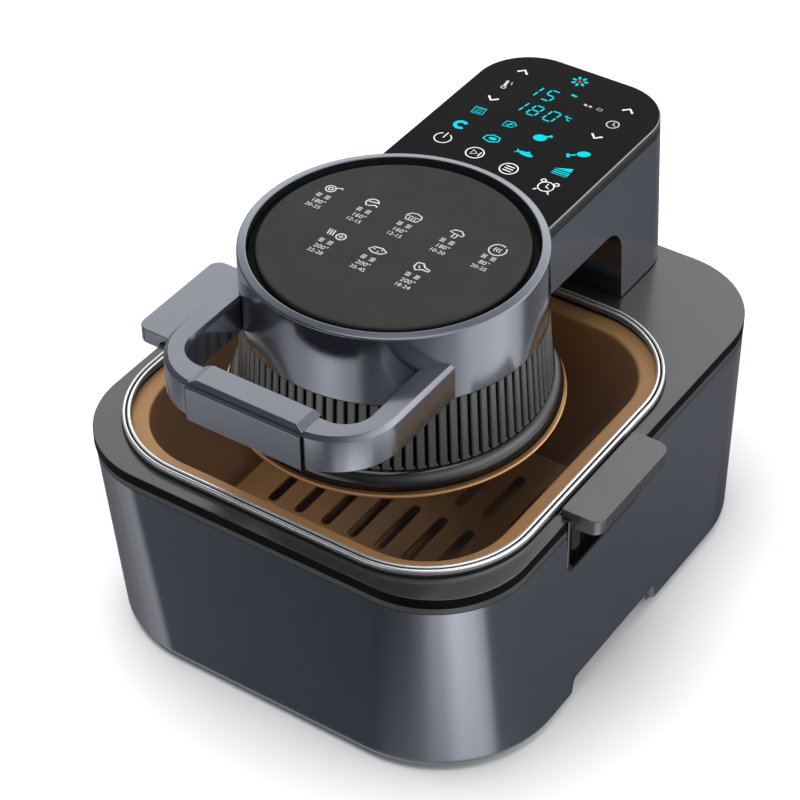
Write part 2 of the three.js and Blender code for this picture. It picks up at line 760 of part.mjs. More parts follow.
// The tunnel between the head and the column, grown by the given margin.
function archTunnel(margin) {
  const shape = new THREE.Shape();
  const rear = tower.columnFront + margin;
  const top = tower.archTop + margin;
  const corner = tower.archCorner - margin;
  shape.moveTo(-60, 100);
  shape.lineTo(rear, 100);
  shape.lineTo(rear, top - corner);
  shape.absarc(rear - corner, top - corner, corner, 0, Math.PI / 2, false);
  shape.lineTo(-60, top);
  shape.closePath();
  return sideSlab(shape, -100, 100);
}

// The space of the round head, which the arm butts against.
function headRoom() {
  return [
    post(head.skirt + 0.4, 100, 300),
    post(grille.radius + 0.4, 100, head.seam + GAP),
  ];
}

function towerShell() {
  const { foot, shellTop, wall } = tower;
  const outside = cut(towerSolid(0, foot, shellTop), archTunnel(0), ...headRoom());
  const hollow = cut(towerSolid(wall, foot - 5, shellTop + 5), archTunnel(wall));
  const heel = cut(
    block(-80, 80, hinge.y, 220, 140, hinge.z),
    barAlongX(hinge.sweep, -90, 90, hinge.y, hinge.z, 40),
  );
  const hingeRoom = block(-hinge.half - 1.6, hinge.half + 1.6, 184, 220, 140, 172.4);
  const coverHole = block(-22, 22, 190, 220, 182, 238);
  return cut(outside, hollow, heel, hingeRoom, coverHole);
}

function panelBezel() {
  const low = tower.shellTop + GAP;
  const high = tower.panelTop - tower.panelSkin - GAP;
  return cut(
    towerSolid(0, low, high), towerSolid(4, low - 1, high + 1),
    ...headRoom(),
  );
}

function controlPanel() {
  const low = tower.panelTop - tower.panelSkin;
  const bevel = 0.9;
  const outside = loft([
    { z: low, shape: towerPlan(0) },
    { z: tower.panelTop - bevel, shape: towerPlan(0) },
    { z: tower.panelTop, shape: towerPlan(bevel) },
  ], 5);
  return cut(outside, ...headRoom());
}

function touchBoard() {
  const z = 250;
  return join(
    slab(cornered(-50, 50, 66, 182, 3, 20), z, z + 1.6, 4),
    block(-24, 24, 128, 160, z + 1, z + 7),
    block(-20, 4, 80, 92, z - 3, z + 1),
  );
}

function powerBoard() {
  return join(
    block(-48, 48, 150, 151.6, 168, 240),
    block(-40, -8, 151, 172, 174, 198),
    block(2, 18, 151, 166, 174, 194),
    block(24, 40, 151, 166, 174, 190),
    barAlongY(7, 151, 174, 10, 216),
    block(-36, -12, 151, 160, 208, 230),
  );
}

const coverFace = tower.rear - 1;

function towerCover() {
  const inner = tower.rear - tower.wall - GAP;
  const plate = join(
    block(-22 + GAP, 22 - GAP, inner - 1, coverFace, 182 + GAP, 238 - GAP),
    block(-26, 26, inner - 2, inner, 178, 242),
  );
  const slots = [];
  for (let i = 0; i < 6; i += 1) {
    const z = 190 + i * 7;
    slots.push(block(-14, 14, inner - 10, coverFace + 5, z, z + 3));
  }
  const screwHoles = [186, 234].map((z) => barAlongY(1.9, 180, 210, 0, z, 12));
  return cut(plate, ...slots, ...screwHoles);
}

function coverScrew(z) {
  return join(
    barAlongY(1.5, coverFace - 9, coverFace + 0.5, 0, z, SCREW_FACETS),
    barAlongY(3, coverFace + GAP, coverFace + 0.9, 0, z, SCREW_FACETS),
  );
}

// ---------------------------------------------------------------- assembly
place(baseGroup, 'outer_housing', outerHousing(), looks.slate);
place(baseGroup, 'bottom_plate', bottomPlate(), looks.black);
place(baseGroup, 'deck_plate', deckPlate(), looks.deckTop);
place(baseGroup, 'deck_trim_front', deckTrim(true), looks.trimGrey);
place(baseGroup, 'deck_trim_rear', deckTrim(false), looks.trimGrey);
place(baseGroup, 'inner_liner', innerLiner(), looks.steel);
place(baseGroup, 'cord_gland', cordGland(), looks.rubber);
place(baseGroup, 'terminal_block', terminalBlock(), looks.black);
place(baseGroup, 'lid_sensor', lidSensor(), looks.black);
place(baseGroup, 'hinge_leaf', hingeLeaf(), looks.steel);
place(baseGroup, 'hinge_pin', hingePin(), looks.steel);
place(baseGroup, 'pot', potBody(), looks.bronze);
place(baseGroup, 'crisper_plate', crisperPlate(), looks.bronze);
footSpots.forEach((spot, i) => place(baseGroup, `foot_${i + 1}`, foot(spot), looks.rubber));
for (const { side, sign } of sides) {
  place(baseGroup, `pot_bracket_${side}`, potBracket(sign), looks.black);
  place(baseGroup, `pot_handle_${side}`, potHandlePlate(sign), sign > 0 ? looks.plateGrey : looks.handle);
  place(baseGroup, `handle_screw_${side}`, handleScrew(sign), looks.steel);
  place(baseGroup, `hinge_screw_${side}`, hingeScrew(sign), looks.steel);
}

place(lidGroup, 'lid_rim', lidRim(), looks.chrome);
place(lidGroup, 'glass_lid', glassLid(), looks.glass);
place(lidGroup, 'lid_gasket', lidGasket(), looks.rubber);
place(lidGroup, 'clamp_ring', clampRing(), looks.steel);
place(lidGroup, 'reflector_ring', reflectorRing(), looks.copper);
place(lidGroup, 'head_flange', headFlange(), looks.black);
place(lidGroup, 'grille_ring', grilleRing(), looks.plateGrey);
place(lidGroup, 'fan_drum', fanDrum(), looks.black);
place(lidGroup, 'head_shell', headShell(), looks.slate);
place(lidGroup, 'head_cap', headCap(), looks.black);
place(lidGroup, 'menu_disc', menuDisc(), looks.menu);
place(lidGroup, 'heat_shield', heatShield(), looks.steel);
place(lidGroup, 'motor_bracket', motorBracket(), looks.steel);
place(lidGroup, 'fan_motor', fanMotor(), looks.steel);
place(lidGroup, 'heating_element', heatingElement(), looks.steel);
place(lidGroup, 'fan_guard', fanGuard(), looks.steel);
place(lidGroup, 'temperature_probe', temperatureProbe(), looks.steel);
place(lidGroup, 'handle_frame', handleFrame(), looks.handle);
place(lidGroup, 'handle_grip', handleGrip(), looks.handle);
place(lidGroup, 'tower_shell', towerShell(), looks.slate);
place(lidGroup, 'tower_base_plate', towerBasePlate(), looks.steel);
place(lidGroup, 'tower_cover', towerCover(), looks.black);
place(lidGroup, 'panel_bezel', panelBezel(), looks.black);
place(lidGroup, 'control_panel', controlPanel(), looks.touch);
place(lidGroup, 'touch_board', touchBoard(), looks.board);
place(lidGroup, 'power_board', powerBoard(), looks.board);
place(lidGroup, 'cover_screw_lower', coverScrew(186), looks.steel);
place(lidGroup, 'cover_screw_upper', coverScrew(234), looks.steel);
for (const { side, sign } of sides) {
  place(lidGroup, `grip_screw_${side}`, gripScrew(sign), looks.steel);
}

place(rotorGroup, 'fan_shaft', fanShaft(), looks.steel);
place(rotorGroup, 'convection_fan', bladedFan({
  low: 174, high: 186, hub: 10, tip: 48, blades: 10, sweep: 0.35, bore: 4 + GAP,
}), looks.steel);
place(rotorGroup, 'cooling_fan', bladedFan({
  low: 242, high: 252, hub: 10, tip: 40, blades: 9, sweep: -0.3, bore: 4 + GAP,
}), looks.black);

// The origin is the middle of the footprint: halfway from the grip's front to the tower's rear.
const frontmost = handle.front - handle.gripSkin;
fryer.position.y = -(frontmost + tower.rear) / 2;

export default fryer;
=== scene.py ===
"""The looks of the hot-air deep fryer: detailed pieces, materials, icons, floor, light and camera.

Lengths are millimetres in a frame centred on the deck (+X right, +Y rear, +Z up); at() turns them into metres
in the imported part's own frame.
"""

import json
import math

import bmesh
import bpy
from mathutils import Matrix, Vector


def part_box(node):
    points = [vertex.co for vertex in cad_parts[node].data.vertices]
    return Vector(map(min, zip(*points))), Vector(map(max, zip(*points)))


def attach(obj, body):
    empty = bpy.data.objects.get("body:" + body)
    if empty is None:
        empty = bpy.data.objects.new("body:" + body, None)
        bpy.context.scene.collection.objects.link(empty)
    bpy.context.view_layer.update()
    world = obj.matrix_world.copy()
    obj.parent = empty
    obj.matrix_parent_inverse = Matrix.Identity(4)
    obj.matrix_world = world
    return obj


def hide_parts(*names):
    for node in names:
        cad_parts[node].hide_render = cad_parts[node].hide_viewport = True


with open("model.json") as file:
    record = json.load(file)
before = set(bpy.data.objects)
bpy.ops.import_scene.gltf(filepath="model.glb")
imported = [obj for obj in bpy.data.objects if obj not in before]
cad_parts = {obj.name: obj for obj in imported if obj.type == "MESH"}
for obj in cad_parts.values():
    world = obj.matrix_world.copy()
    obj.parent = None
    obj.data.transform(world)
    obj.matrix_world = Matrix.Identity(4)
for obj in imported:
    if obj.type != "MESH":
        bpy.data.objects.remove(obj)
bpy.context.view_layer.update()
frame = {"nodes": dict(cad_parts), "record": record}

MM = 0.001
deck_low, deck_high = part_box("deck_plate")
MID_Y = (deck_low.y + deck_high.y) / 2
GAP = 0.3                      # clearance between neighbouring pieces
CORNER_STEPS = 20              # points on each rounded plan corner
TURN_STEPS = 160               # points round a turned piece


def at(x, y, z):
    return Vector((x * MM, y * MM + MID_Y, z * MM))


def span(node):
    """The node's box in millimetres, deck-centred: (left, right, front, rear, low, high)."""
    low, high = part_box(node)
    return (low.x / MM, high.x / MM, (low.y - MID_Y) / MM, (high.y - MID_Y) / MM, low.z / MM, high.z / MM)


def mix(a, b, t):
    return a + (b - a) * t


def ease(t):
    t = max(0.0, min(1.0, t))
    return t * t * (3 - 2 * t)


# ---------------------------------------------------------------- materials
def linear(*srgb):
    """0-255 display values as linear light."""
    def one(v):
        v /= 255
        return v / 12.92 if v <= 0.04045 else ((v + 0.055) / 1.055) ** 2.4
    return tuple(one(v) for v in srgb)


def feed(tree, socket, value):
    """Links another node's output to the socket, or gives the socket a plain value."""
    if isinstance(value, bpy.types.NodeSocket):
        tree.links.new(value, socket)
    else:
        socket.default_value = value


def ranged(tree, value, low, high, from_low, from_high, shape="LINEAR"):
    """value, moved from the one range to the other."""
    node = tree.nodes.new("ShaderNodeMapRange")
    node.interpolation_type = shape
    tree.links.new(value, node.inputs["Value"])
    for key, number in (("From Min", from_low), ("From Max", from_high), ("To Min", low), ("To Max", high)):
        node.inputs[key].default_value = number
    return node.outputs["Result"]


NOISE_DETAIL = 3.0
NOISE_LOW, NOISE_HIGH = 0.3, 0.7      # a noise's values mostly lie between these
GRAIN_DEPTH = 0.15 * MM


def material(name, colour, rough, metal=0.0, fleck=0.06, fleck_size=1.2, patch=0.04, patch_size=60,
             bump=0.05, bump_size=0.6, grain_detail=4.0, smear=0.05, stretch=(1, 1, 1), specular=0.5,
             ior=1.5, coat=0.0, coat_rough=0.08, second=None, glow=None, alpha=None):
    """A moulded, painted or metal surface: fine flecks and broad patches in its colour, uneven gloss and a
    fine surface grain. Sizes are in millimetres."""
    made = bpy.data.materials.new(name)
    made.use_nodes = True
    tree = made.node_tree
    nodes, links = tree.nodes, tree.links
    shader = nodes["Principled BSDF"]
    place = nodes.new("ShaderNodeTexCoord")
    stretched = nodes.new("ShaderNodeMapping")
    stretched.inputs["Scale"].default_value = stretch
    links.new(place.outputs["Object"], stretched.inputs["Vector"])

    def noise(size, detail=NOISE_DETAIL):
        node = nodes.new("ShaderNodeTexNoise")
        node.inputs["Scale"].default_value = 1 / (size * MM)
        node.inputs["Detail"].default_value = detail
        links.new(stretched.outputs["Vector"], node.inputs["Vector"])
        return node.outputs["Fac"]

    def spread(value, low=0, high=1):
        return ranged(tree, value, low, high, NOISE_LOW, NOISE_HIGH)

    def blend(factor, a, b):
        node = nodes.new("ShaderNodeMix")
        node.data_type = "RGBA"
        for socket, value in ((node.inputs["Factor"], factor), (node.inputs[6], a), (node.inputs[7], b)):
            feed(tree, socket, value)
        return node.outputs[2]

    def scaled(by):
        return (*(min(1.0, c * by) for c in colour), 1)

    flecks = spread(noise(fleck_size, min(NOISE_DETAIL, grain_detail)))
    fine = blend(flecks, scaled(1 - fleck), (*second, 1) if second else scaled(1 + fleck))
    broad = blend(spread(noise(patch_size)), scaled(1 - patch), scaled(1 + patch))
    links.new(blend(0.5, fine, broad), shader.inputs["Base Color"])
    gloss = spread(noise(patch_size * 0.4), max(0.0, rough - smear), rough + smear)
    links.new(gloss, shader.inputs["Roughness"])
    grain = nodes.new("ShaderNodeBump")
    grain.inputs["Strength"].default_value = bump
    grain.inputs["Distance"].default_value = GRAIN_DEPTH
    links.new(noise(bump_size, grain_detail), grain.inputs["Height"])
    links.new(grain.outputs["Normal"], shader.inputs["Normal"])
    shader.inputs["Metallic"].default_value = metal
    shader.inputs["Specular IOR Level"].default_value = specular
    shader.inputs["IOR"].default_value = ior
    if coat:
        shader.inputs["Coat Weight"].default_value = coat
        shader.inputs["Coat Roughness"].default_value = coat_rough
    if glow:
        tint, strength = glow
        shader.inputs["Emission Color"].default_value = (*tint, 1)
        shader.inputs["Emission Strength"].default_value = strength
    if alpha is not None:
        shader.inputs["Alpha"].default_value = alpha
    return made


LOOKS = {}


def look(name, level, *values, **more):
    """One slot's material; a plain level stands for a neutral grey."""
    colour = level if isinstance(level, tuple) else (level, level, level)
    LOOKS[name] = material(name, colour, *values, **more)


PAINT = dict(fleck=0.02, fleck_size=4, patch=0.012, bump=0.012, bump_size=7, grain_detail=0.0, smear=0.01,
             coat=1.0)
look("slate_paint", (0.172, 0.185, 0.222), 0.17, 0.92, coat_rough=0.1, **PAINT)
look("handle_slate", (0.172, 0.183, 0.215), 0.2, 0.88, coat_rough=0.12, **PAINT)
look("deck_black", 0.017, 0.22, fleck_size=4, bump=0.01, bump_size=9, grain_detail=0.0, smear=0.02, ior=1.95)
# painted shade: a darker, almost unreflecting copy of the deck's black for the deck's side band, so that the
# band stays black
look("deck_band_painted_shade", 0.0012, 0.4, fleck=0.2, fleck_size=4, bump=0.01, bump_size=6, smear=0.04, specular=0.04)
look("trim_grey", 0.06, 0.36, 0.5, fleck=0.08, fleck_size=3, bump=0.02, bump_size=4)
look("gloss_black", 0.004, 0.17, fleck=0.2, fleck_size=4, bump=0.01, bump_size=8, grain_detail=0.0,
     smear=0.02, ior=1.75)
look("black_plastic", (0.009, 0.009, 0.0095), 0.5, fleck=0.2, fleck_size=0.7, bump=0.2, bump_size=0.45,
     specular=0.2)
# painted shade: near-black and almost unreflecting, for the gaps, grooves and hollows it is put in
look("gap_painted_shade", 0.002, 0.6, fleck=0.3, fleck_size=0.7, bump=0.1, bump_size=0.45, specular=0.05)
look("grille_grey", 0.1, 0.36, 0.2, fleck=0.08, fleck_size=0.6, bump=0.08, bump_size=0.5)
look("menu_face", 0.0165, 0.55, fleck_size=1.5, bump_size=0.4, specular=0.2)
look("touch_glass", 0.004, 0.2, fleck=0.1, fleck_size=5, bump=0.006, bump_size=9, specular=0.03, smear=0.03)
# painted highlight: a more reflective copy of the touch glass for the panel's rounded upper edge
look("glass_edge_painted_highlight", 0.02, 0.14, fleck=0.1, fleck_size=3, bump=0.006, bump_size=6, grain_detail=0.0, ior=3.0,
     smear=0.02)
look("pot_handle_grey", 0.14, 0.2, 0.75, fleck=0.03, fleck_size=3, bump=0.012, bump_size=6, grain_detail=0.0,
     smear=0.02)
look("bronze_coating", (0.37, 0.195, 0.078), 0.38, 0.3, fleck=0.08, patch=0.05, bump_size=1.5)
look("copper", (1.0, 0.54, 0.25), 0.26, 0.75, fleck=0.05, bump=0.02, stretch=(1, 1, 6))
look("chrome", 0.86, 0.14, 0.8, fleck=0.01, fleck_size=8, bump=0.004, bump_size=20, grain_detail=0.0,
     smear=0.01)
look("liner_steel", 0.45, 0.35, 1.0, fleck=0.12, fleck_size=1.0, stretch=(1, 1, 14), bump=0.06)
look("heater_steel", (0.24, 0.21, 0.19), 0.42, 0.9, fleck=0.25, fleck_size=2.5, patch=0.2, patch_size=18,
     bump=0.15, second=(0.3, 0.22, 0.2))
look("hinge_steel", (0.3, 0.3, 0.31), 0.3, 1.0, fleck=0.12, fleck_size=0.8, stretch=(0.08, 1, 1), bump=0.08)
look("screw_steel", (0.42, 0.42, 0.44), 0.3, 1.0, fleck=0.1, fleck_size=0.5, bump=0.08, bump_size=0.3)
look("clear_glass", (0.02, 0.025, 0.025), 0.03, fleck=0.05, bump=0.002, bump_size=8, smear=0.02, alpha=0.05)
look("rubber", (0.014, 0.014, 0.015), 0.75, fleck=0.25, fleck_size=0.8, bump=0.3, bump_size=0.5, specular=0.3)
look("circuit_board", (0.02, 0.12, 0.05), 0.4, fleck=0.3, fleck_size=2.2, bump=0.2, bump_size=1.4)
# white print with a faint painted glow that brightens it beyond what the lights give
INK_WHITE_GLOWING = material("ink_white_painted_glow", linear(205, 205, 205), 0.55, fleck=0.05, specular=0.1,
                     glow=((1, 1, 1), 0.12))
INK_GREY = material("ink_grey", linear(178, 178, 178), 0.6, fleck=0.08)
LIT_CYAN = material("lit_cyan", (0.0, 0.05, 0.06), 0.5, fleck=0.1, specular=0.02,
                    glow=((0.0, 0.74, 0.84), 0.95))
LIT_RED = material("lit_red", (0.2, 0.01, 0.0), 0.5, fleck=0.1, specular=0.02, glow=((1.0, 0.05, 0.02), 0.8))
SLOT_OF = {part["node"]: part["material_slot"] for part in frame["record"]["subparts"]}


# ---------------------------------------------------------------- mesh helpers
TINY = 0.0004 * MM             # points nearer than this are one


def new_object(name, data):
    made = bpy.data.objects.new(name, data)
    bpy.context.scene.collection.objects.link(made)
    return made


def raw(name, points, faces):
    """A mesh object from millimetre points, tidied so that it is closed and its faces look outwards."""
    mesh = bpy.data.meshes.new(name)
    mesh.from_pydata([at(*p) for p in points], [], faces)
    shape = bmesh.new()
    shape.from_mesh(mesh)
    bmesh.ops.remove_doubles(shape, verts=shape.verts, dist=TINY)
    bmesh.ops.dissolve_degenerate(shape, edges=shape.edges, dist=TINY)
    bmesh.ops.recalc_face_normals(shape, faces=shape.faces)
    shape.to_mesh(mesh)
    shape.free()
    return new_object(name, mesh)


def skin(rings, loop=False, caps=True, first=0):
    """Faces between rings of points that are numbered from first on: a tube closed on itself, or an open one
    that may have a cap at either end."""
    count, last = len(rings[0]), first + len(rings) * len(rings[0])
    faces = []
    for level in range(len(rings) if loop else len(rings) - 1):
        low, high = first + level * count, first + (level + 1) % len(rings) * count
        for i in range(count):
            j = (i + 1) % count
            faces.append((low + i, low + j, high + j, high + i))
    if caps and not loop:
        faces.append(tuple(range(first + count - 1, first - 1, -1)))
        faces.append(tuple(range(last - count, last)))
    return faces


def stack(name, rings, loop=False, caps=True):
    """Rings of points skinned into one body."""
    return raw(name, [p for ring in rings for p in ring], skin(rings, loop, caps))


def settle(piece):
    """Turns the piece's modifiers into its own mesh."""
    graph = bpy.context.evaluated_depsgraph_get()
    mesh = bpy.data.meshes.new_from_object(piece.evaluated_get(graph))
    piece.modifiers.clear()
    before, piece.data = piece.data, mesh
    bpy.data.meshes.remove(before)
    mesh.name = piece.name
    return piece


def cut(piece, *others):
    """Takes the others out of the piece and uses them up."""
    for other in others:
        step = piece.modifiers.new("step", "BOOLEAN")
        step.operation = "DIFFERENCE"
        step.solver = "EXACT"
        step.object = other
    settle(piece)
    for other in others:
        bpy.data.objects.remove(other)


def bevel(piece, width, segments=2, angle=40, apply=True):
    step = piece.modifiers.new("bevel", "BEVEL")
    step.width = width * MM
    step.segments = segments
    step.limit_method = "ANGLE"
    step.angle_limit = math.radians(angle)
    return settle(piece) if apply else piece


def finish(piece, body, slot, *nodes, smooth=32):
    """The piece rides on its body, takes its slot's material and stands for its CAD nodes."""
    piece.data.materials.clear()
    piece.data.materials.append(LOOKS[slot] if isinstance(slot, str) else slot)
    for face in piece.data.polygons:
        face.use_smooth = True
        face.material_index = 0
    piece.data.set_sharp_from_angle(angle=math.radians(smooth))
    flats = piece.modifiers.new("flats", "WEIGHTED_NORMAL")
    flats.keep_sharp = True
    settle(piece)
    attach(piece, body)
    if nodes:
        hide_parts(*nodes)
    return piece


def merged(name, pieces):
    """Several mesh objects as one."""
    shape = bmesh.new()
    for piece in pieces:
        shape.from_mesh(piece.data)
        bpy.data.objects.remove(piece)
    mesh = bpy.data.meshes.new(name)
    shape.to_mesh(mesh)
    shape.free()
    return new_object(name, mesh)


def meshed(name, curve):
    """The curve's surface as a mesh."""
    holder = new_object(name, curve)
    graph = bpy.context.evaluated_depsgraph_get()
    mesh = bpy.data.meshes.new_from_object(holder.evaluated_get(graph))
    bpy.data.objects.remove(holder)
    return mesh


def cords(name, paths, resolution):
    """Round cords along (points, width, closed) paths, as one mesh."""
    curve = bpy.data.curves.new(name, "CURVE")
    curve.dimensions = "3D"
    curve.bevel_depth = MM
    curve.bevel_resolution = resolution
    curve.use_fill_caps = True
    for points, width, closed in paths:
        spline = curve.splines.new("POLY")
        spline.points.add(len(points) - 1)
        for point, place in zip(spline.points, points):
            point.co = (*at(*place), 1)
            point.radius = width / 2
        spline.use_cyclic_u = closed
    return meshed(name, curve)


# ---------------------------------------------------------------- outlines and profiles
def arc(cx, cy, radius, start, steps=CORNER_STEPS):
    angles = [math.radians(start + 90 * i / steps) for i in range(steps + 1)]
    return [(cx + radius * math.cos(a), cy + radius * math.sin(a)) for a in angles]


def outline(left, right, front, rear, front_right, rear_right=None, rear_left=None, front_left=None,
            steps=CORNER_STEPS):
    """A rounded rectangle, anticlockwise from the front right corner; a missing radius is like the first."""
    radii = [front_right] + [front_right if r is None else r for r in (rear_right, rear_left, front_left)]
    a, b, c, d = radii
    return (arc(right - a, front + a, a, -90, steps) + arc(right - b, rear - b, b, 0, steps)
            + arc(left + c, rear - c, c, 90, steps) + arc(left + d, front + d, d, 180, steps))


def square(size, corner, y):
    return outline(-size / 2, size / 2, y - size / 2, y + size / 2, corner)


def raised(plan, z):
    return [(x, y, z) for x, y in plan]


def sideways(profile, x):
    """A (y, z) outline stood up in the plane at x."""
    return [(x, y, z) for y, z in profile]


def softened(profile, radius, steps=4):
    """The closed profile with every corner rounded; a point's third value is its own radius."""
    points = []
    count = len(profile)
    for i, corner in enumerate(profile):
        here = Vector(corner[:2])
        wish = corner[2] if len(corner) > 2 else radius
        before = Vector(profile[i - 1][:2]) - here
        after = Vector(profile[(i + 1) % count][:2]) - here
        reach = min(wish, before.length * 0.48, after.length * 0.48)
        if reach < 0.01:
            points.append(tuple(here))
            continue
        start, end = here + before.normalized() * reach, here + after.normalized() * reach
        for k in range(steps + 1):
            t = k / steps
            points.append(tuple(start * (1 - t) ** 2 + here * 2 * t * (1 - t) + end * t * t))
    return points


def circle(radius, x, y, steps):
    angles = [math.tau * i / steps for i in range(steps)]
    return [(x + radius * math.cos(a), y + radius * math.sin(a)) for a in angles]


def spun(profile, x, y, steps):
    """A (radius, z) profile as circles round the upright axis through (x, y)."""
    return [raised(circle(radius, x, y, steps), z) for radius, z in profile]


def turned(name, profile):
    """A closed (radius, z) profile turned about the head's axis."""
    return stack(name, spun(profile, 0, HEAD_Y, TURN_STEPS), loop=True)


def disc(name, profile, x, y, steps=TURN_STEPS):
    """A profile that starts and ends on the axis, turned into a solid body."""
    return stack(name, spun(profile, x, y, steps))


def banded(name, size, corner, y, profile):
    """A closed (offset, z) profile run round a rounded square whose edge is at offset 0."""
    rings = [raised(square(size + 2 * offset, corner + offset, y), z) for offset, z in profile]
    return stack(name, rings, loop=True)


def cylinder(name, radius, low, high, x, y, steps=64):
    return stack(name, spun([(radius, low), (radius, high)], x, y, steps))


def block(name, x0, x1, y0, y1, z0, z1):
    return stack(name, [raised([(x0, y0), (x1, y0), (x1, y1), (x0, y1)], z) for z in (z0, z1)])


def bar_along_x(name, profile, left, right):
    return stack(name, [sideways(profile, x) for x in (left, right)])


# ---------------------------------------------------------------- main dimensions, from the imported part
DECK_FRONT, DECK_REAR, _, DECK_TOP = span("deck_plate")[2:]
DECK_HALF = 150.0              # half the deck's width, without its handle wells
DECK_CORNER = 63.0
BAND_LOW = DECK_TOP - 7.5
BASE_WIDTH, BASE_DEPTH, BASE_CORNER, BASE_SHIFT, BASE_LOW = 308.0, 366.0, 82.0, 5.0, 3.0
TRIM_LOW, TRIM_HIGH = span("deck_trim_front")[4:]
RIM = span("lid_rim")
RIM_INNER = 271.5              # across the rim's opening
RIM_CORNER = 68.0
HEAD_Y = (RIM[2] + RIM[3]) / 2
HEAD_SKIRT = span("head_shell")[1]
WELL_HALF, WELL_LOW, WELL_CORNER = 44.0, 112.0, 8.0
SIDES = (("left", -1), ("right", 1))


# ---------------------------------------------------------------- base housing
FILLET = 5.5                   # roll at the foot of the housing
WALL = 3.0
HOLD_FRONT, HOLD_REAR, HOLD_TOP = -66.0, 31.0, 14.0
HOLD_RAMP = 4.5                # length of each end of a hand-hold arch
HOLD_FADE = 40.0               # height over which the arch fades out of the wall's mesh lines


def foot_line(y):
    """Height of the housing's lower edge along its sides, lifted into a hand-hold arch."""
    rise = ease((y - HOLD_FRONT) / HOLD_RAMP + 0.5) - ease((y - HOLD_REAR) / HOLD_RAMP + 0.5)
    return BASE_LOW + (HOLD_TOP - BASE_LOW) * rise


def side_columns():
    near = [i * 0.45 for i in range(-14, 15)]
    columns = [-90, -84, -78, -74] + [HOLD_FRONT + d for d in near] + [-50, -36, -20, -4, 10, 20]
    return columns + [HOLD_REAR + d for d in near] + [42, 52, 64, 78, 92]


def housing_plan(z, inset):
    """The housing's outline at height z without its side columns: (half width, front, rear, corner)."""
    t = (DECK_TOP - z) / (DECK_TOP - BASE_LOW)
    half = mix(DECK_HALF, BASE_WIDTH / 2, t) - inset
    deep = mix((DECK_REAR - DECK_FRONT) / 2, BASE_DEPTH / 2, t) - inset
    corner = mix(DECK_CORNER, BASE_CORNER, t) - inset
    y = mix(0, BASE_SHIFT, t)
    return half, y - deep, y + deep, corner


def corner_point(half, front, rear, corner, sx, sy, start, step):
    angle = math.radians(start + 90 * step / CORNER_STEPS)
    cx = sx * (half - corner)
    cy = rear - corner if sy > 0 else front + corner
    return cx + corner * math.cos(angle), cy + corner * math.sin(angle)


def housing_columns():
    """The mesh lines that run up the housing: (kind, where) for each, anticlockwise from the front right."""
    def corner(sx, sy, start):
        return [("corner", (sx, sy, start, i)) for i in range(CORNER_STEPS + 1)]
    columns = side_columns()
    return (corner(1, -1, -90) + [("side", (1, y)) for y in columns] + corner(1, 1, 0)
            + corner(-1, 1, 90) + [("side", (-1, y)) for y in reversed(columns)] + corner(-1, -1, 180))


def build_housing():
    edge = [(y, foot_line(y)) for y in [i * 0.25 for i in range(-400, 401)]]

    def reach(y, z):
        """Distance from a point on a side to the lower edge."""
        return min(math.hypot(y - ey, z - ez) for ey, ez in edge if abs(ey - y) < 2 * FILLET)

    lifts = [FILLET * (1 - math.cos(math.pi / 2 * i / 10)) for i in range(11)]
    lifts += [7.5, 10, 14, 20, 30, 45, 70, 100, TRIM_LOW - GAP - BASE_LOW]
    columns = housing_columns()
    rings = []
    for lift in lifts:
        ring = []
        keep = 1 - ease((lift - FILLET) / HOLD_FADE)
        for kind, key in columns:
            on_side = kind == "side"
            foot = foot_line(key[1]) if on_side else BASE_LOW
            z = BASE_LOW + lift + (foot - BASE_LOW) * keep
            near = reach(key[1], z) if on_side and lift < 3 * FILLET else lift
            inset = FILLET - math.sqrt(max(0.0, FILLET ** 2 - (FILLET - near) ** 2)) if near < FILLET else 0.0
            plan = housing_plan(z, inset)
            ring.append((key[0] * plan[0], key[1], z) if on_side else (*corner_point(*plan, *key), z))
        rings.append(ring)
    shell = stack("housing_shell", rings, caps=False)
    wall = shell.modifiers.new("wall", "SOLIDIFY")
    wall.thickness = WALL * MM
    wall.offset = -1
    settle(shell)
    profile = outline(HEAD_Y - WELL_HALF - GAP, HEAD_Y + WELL_HALF + GAP, WELL_LOW - GAP, DECK_TOP + 20,
                      WELL_CORNER, 1, 1, WELL_CORNER, steps=8)
    notches = [bar_along_x("notch", profile, sign * 141, sign * 170) for _, sign in SIDES]
    gland = span("cord_gland")
    hole = circle(7 + GAP, (gland[0] + gland[1]) / 2, (gland[4] + gland[5]) / 2, 48)
    notches.append(stack("hole", [[(x, y, z) for x, z in hole] for y in (170, 210)]))
    cut(shell, *notches)
    finish(shell, "base", "slate_paint", "outer_housing", smooth=28)


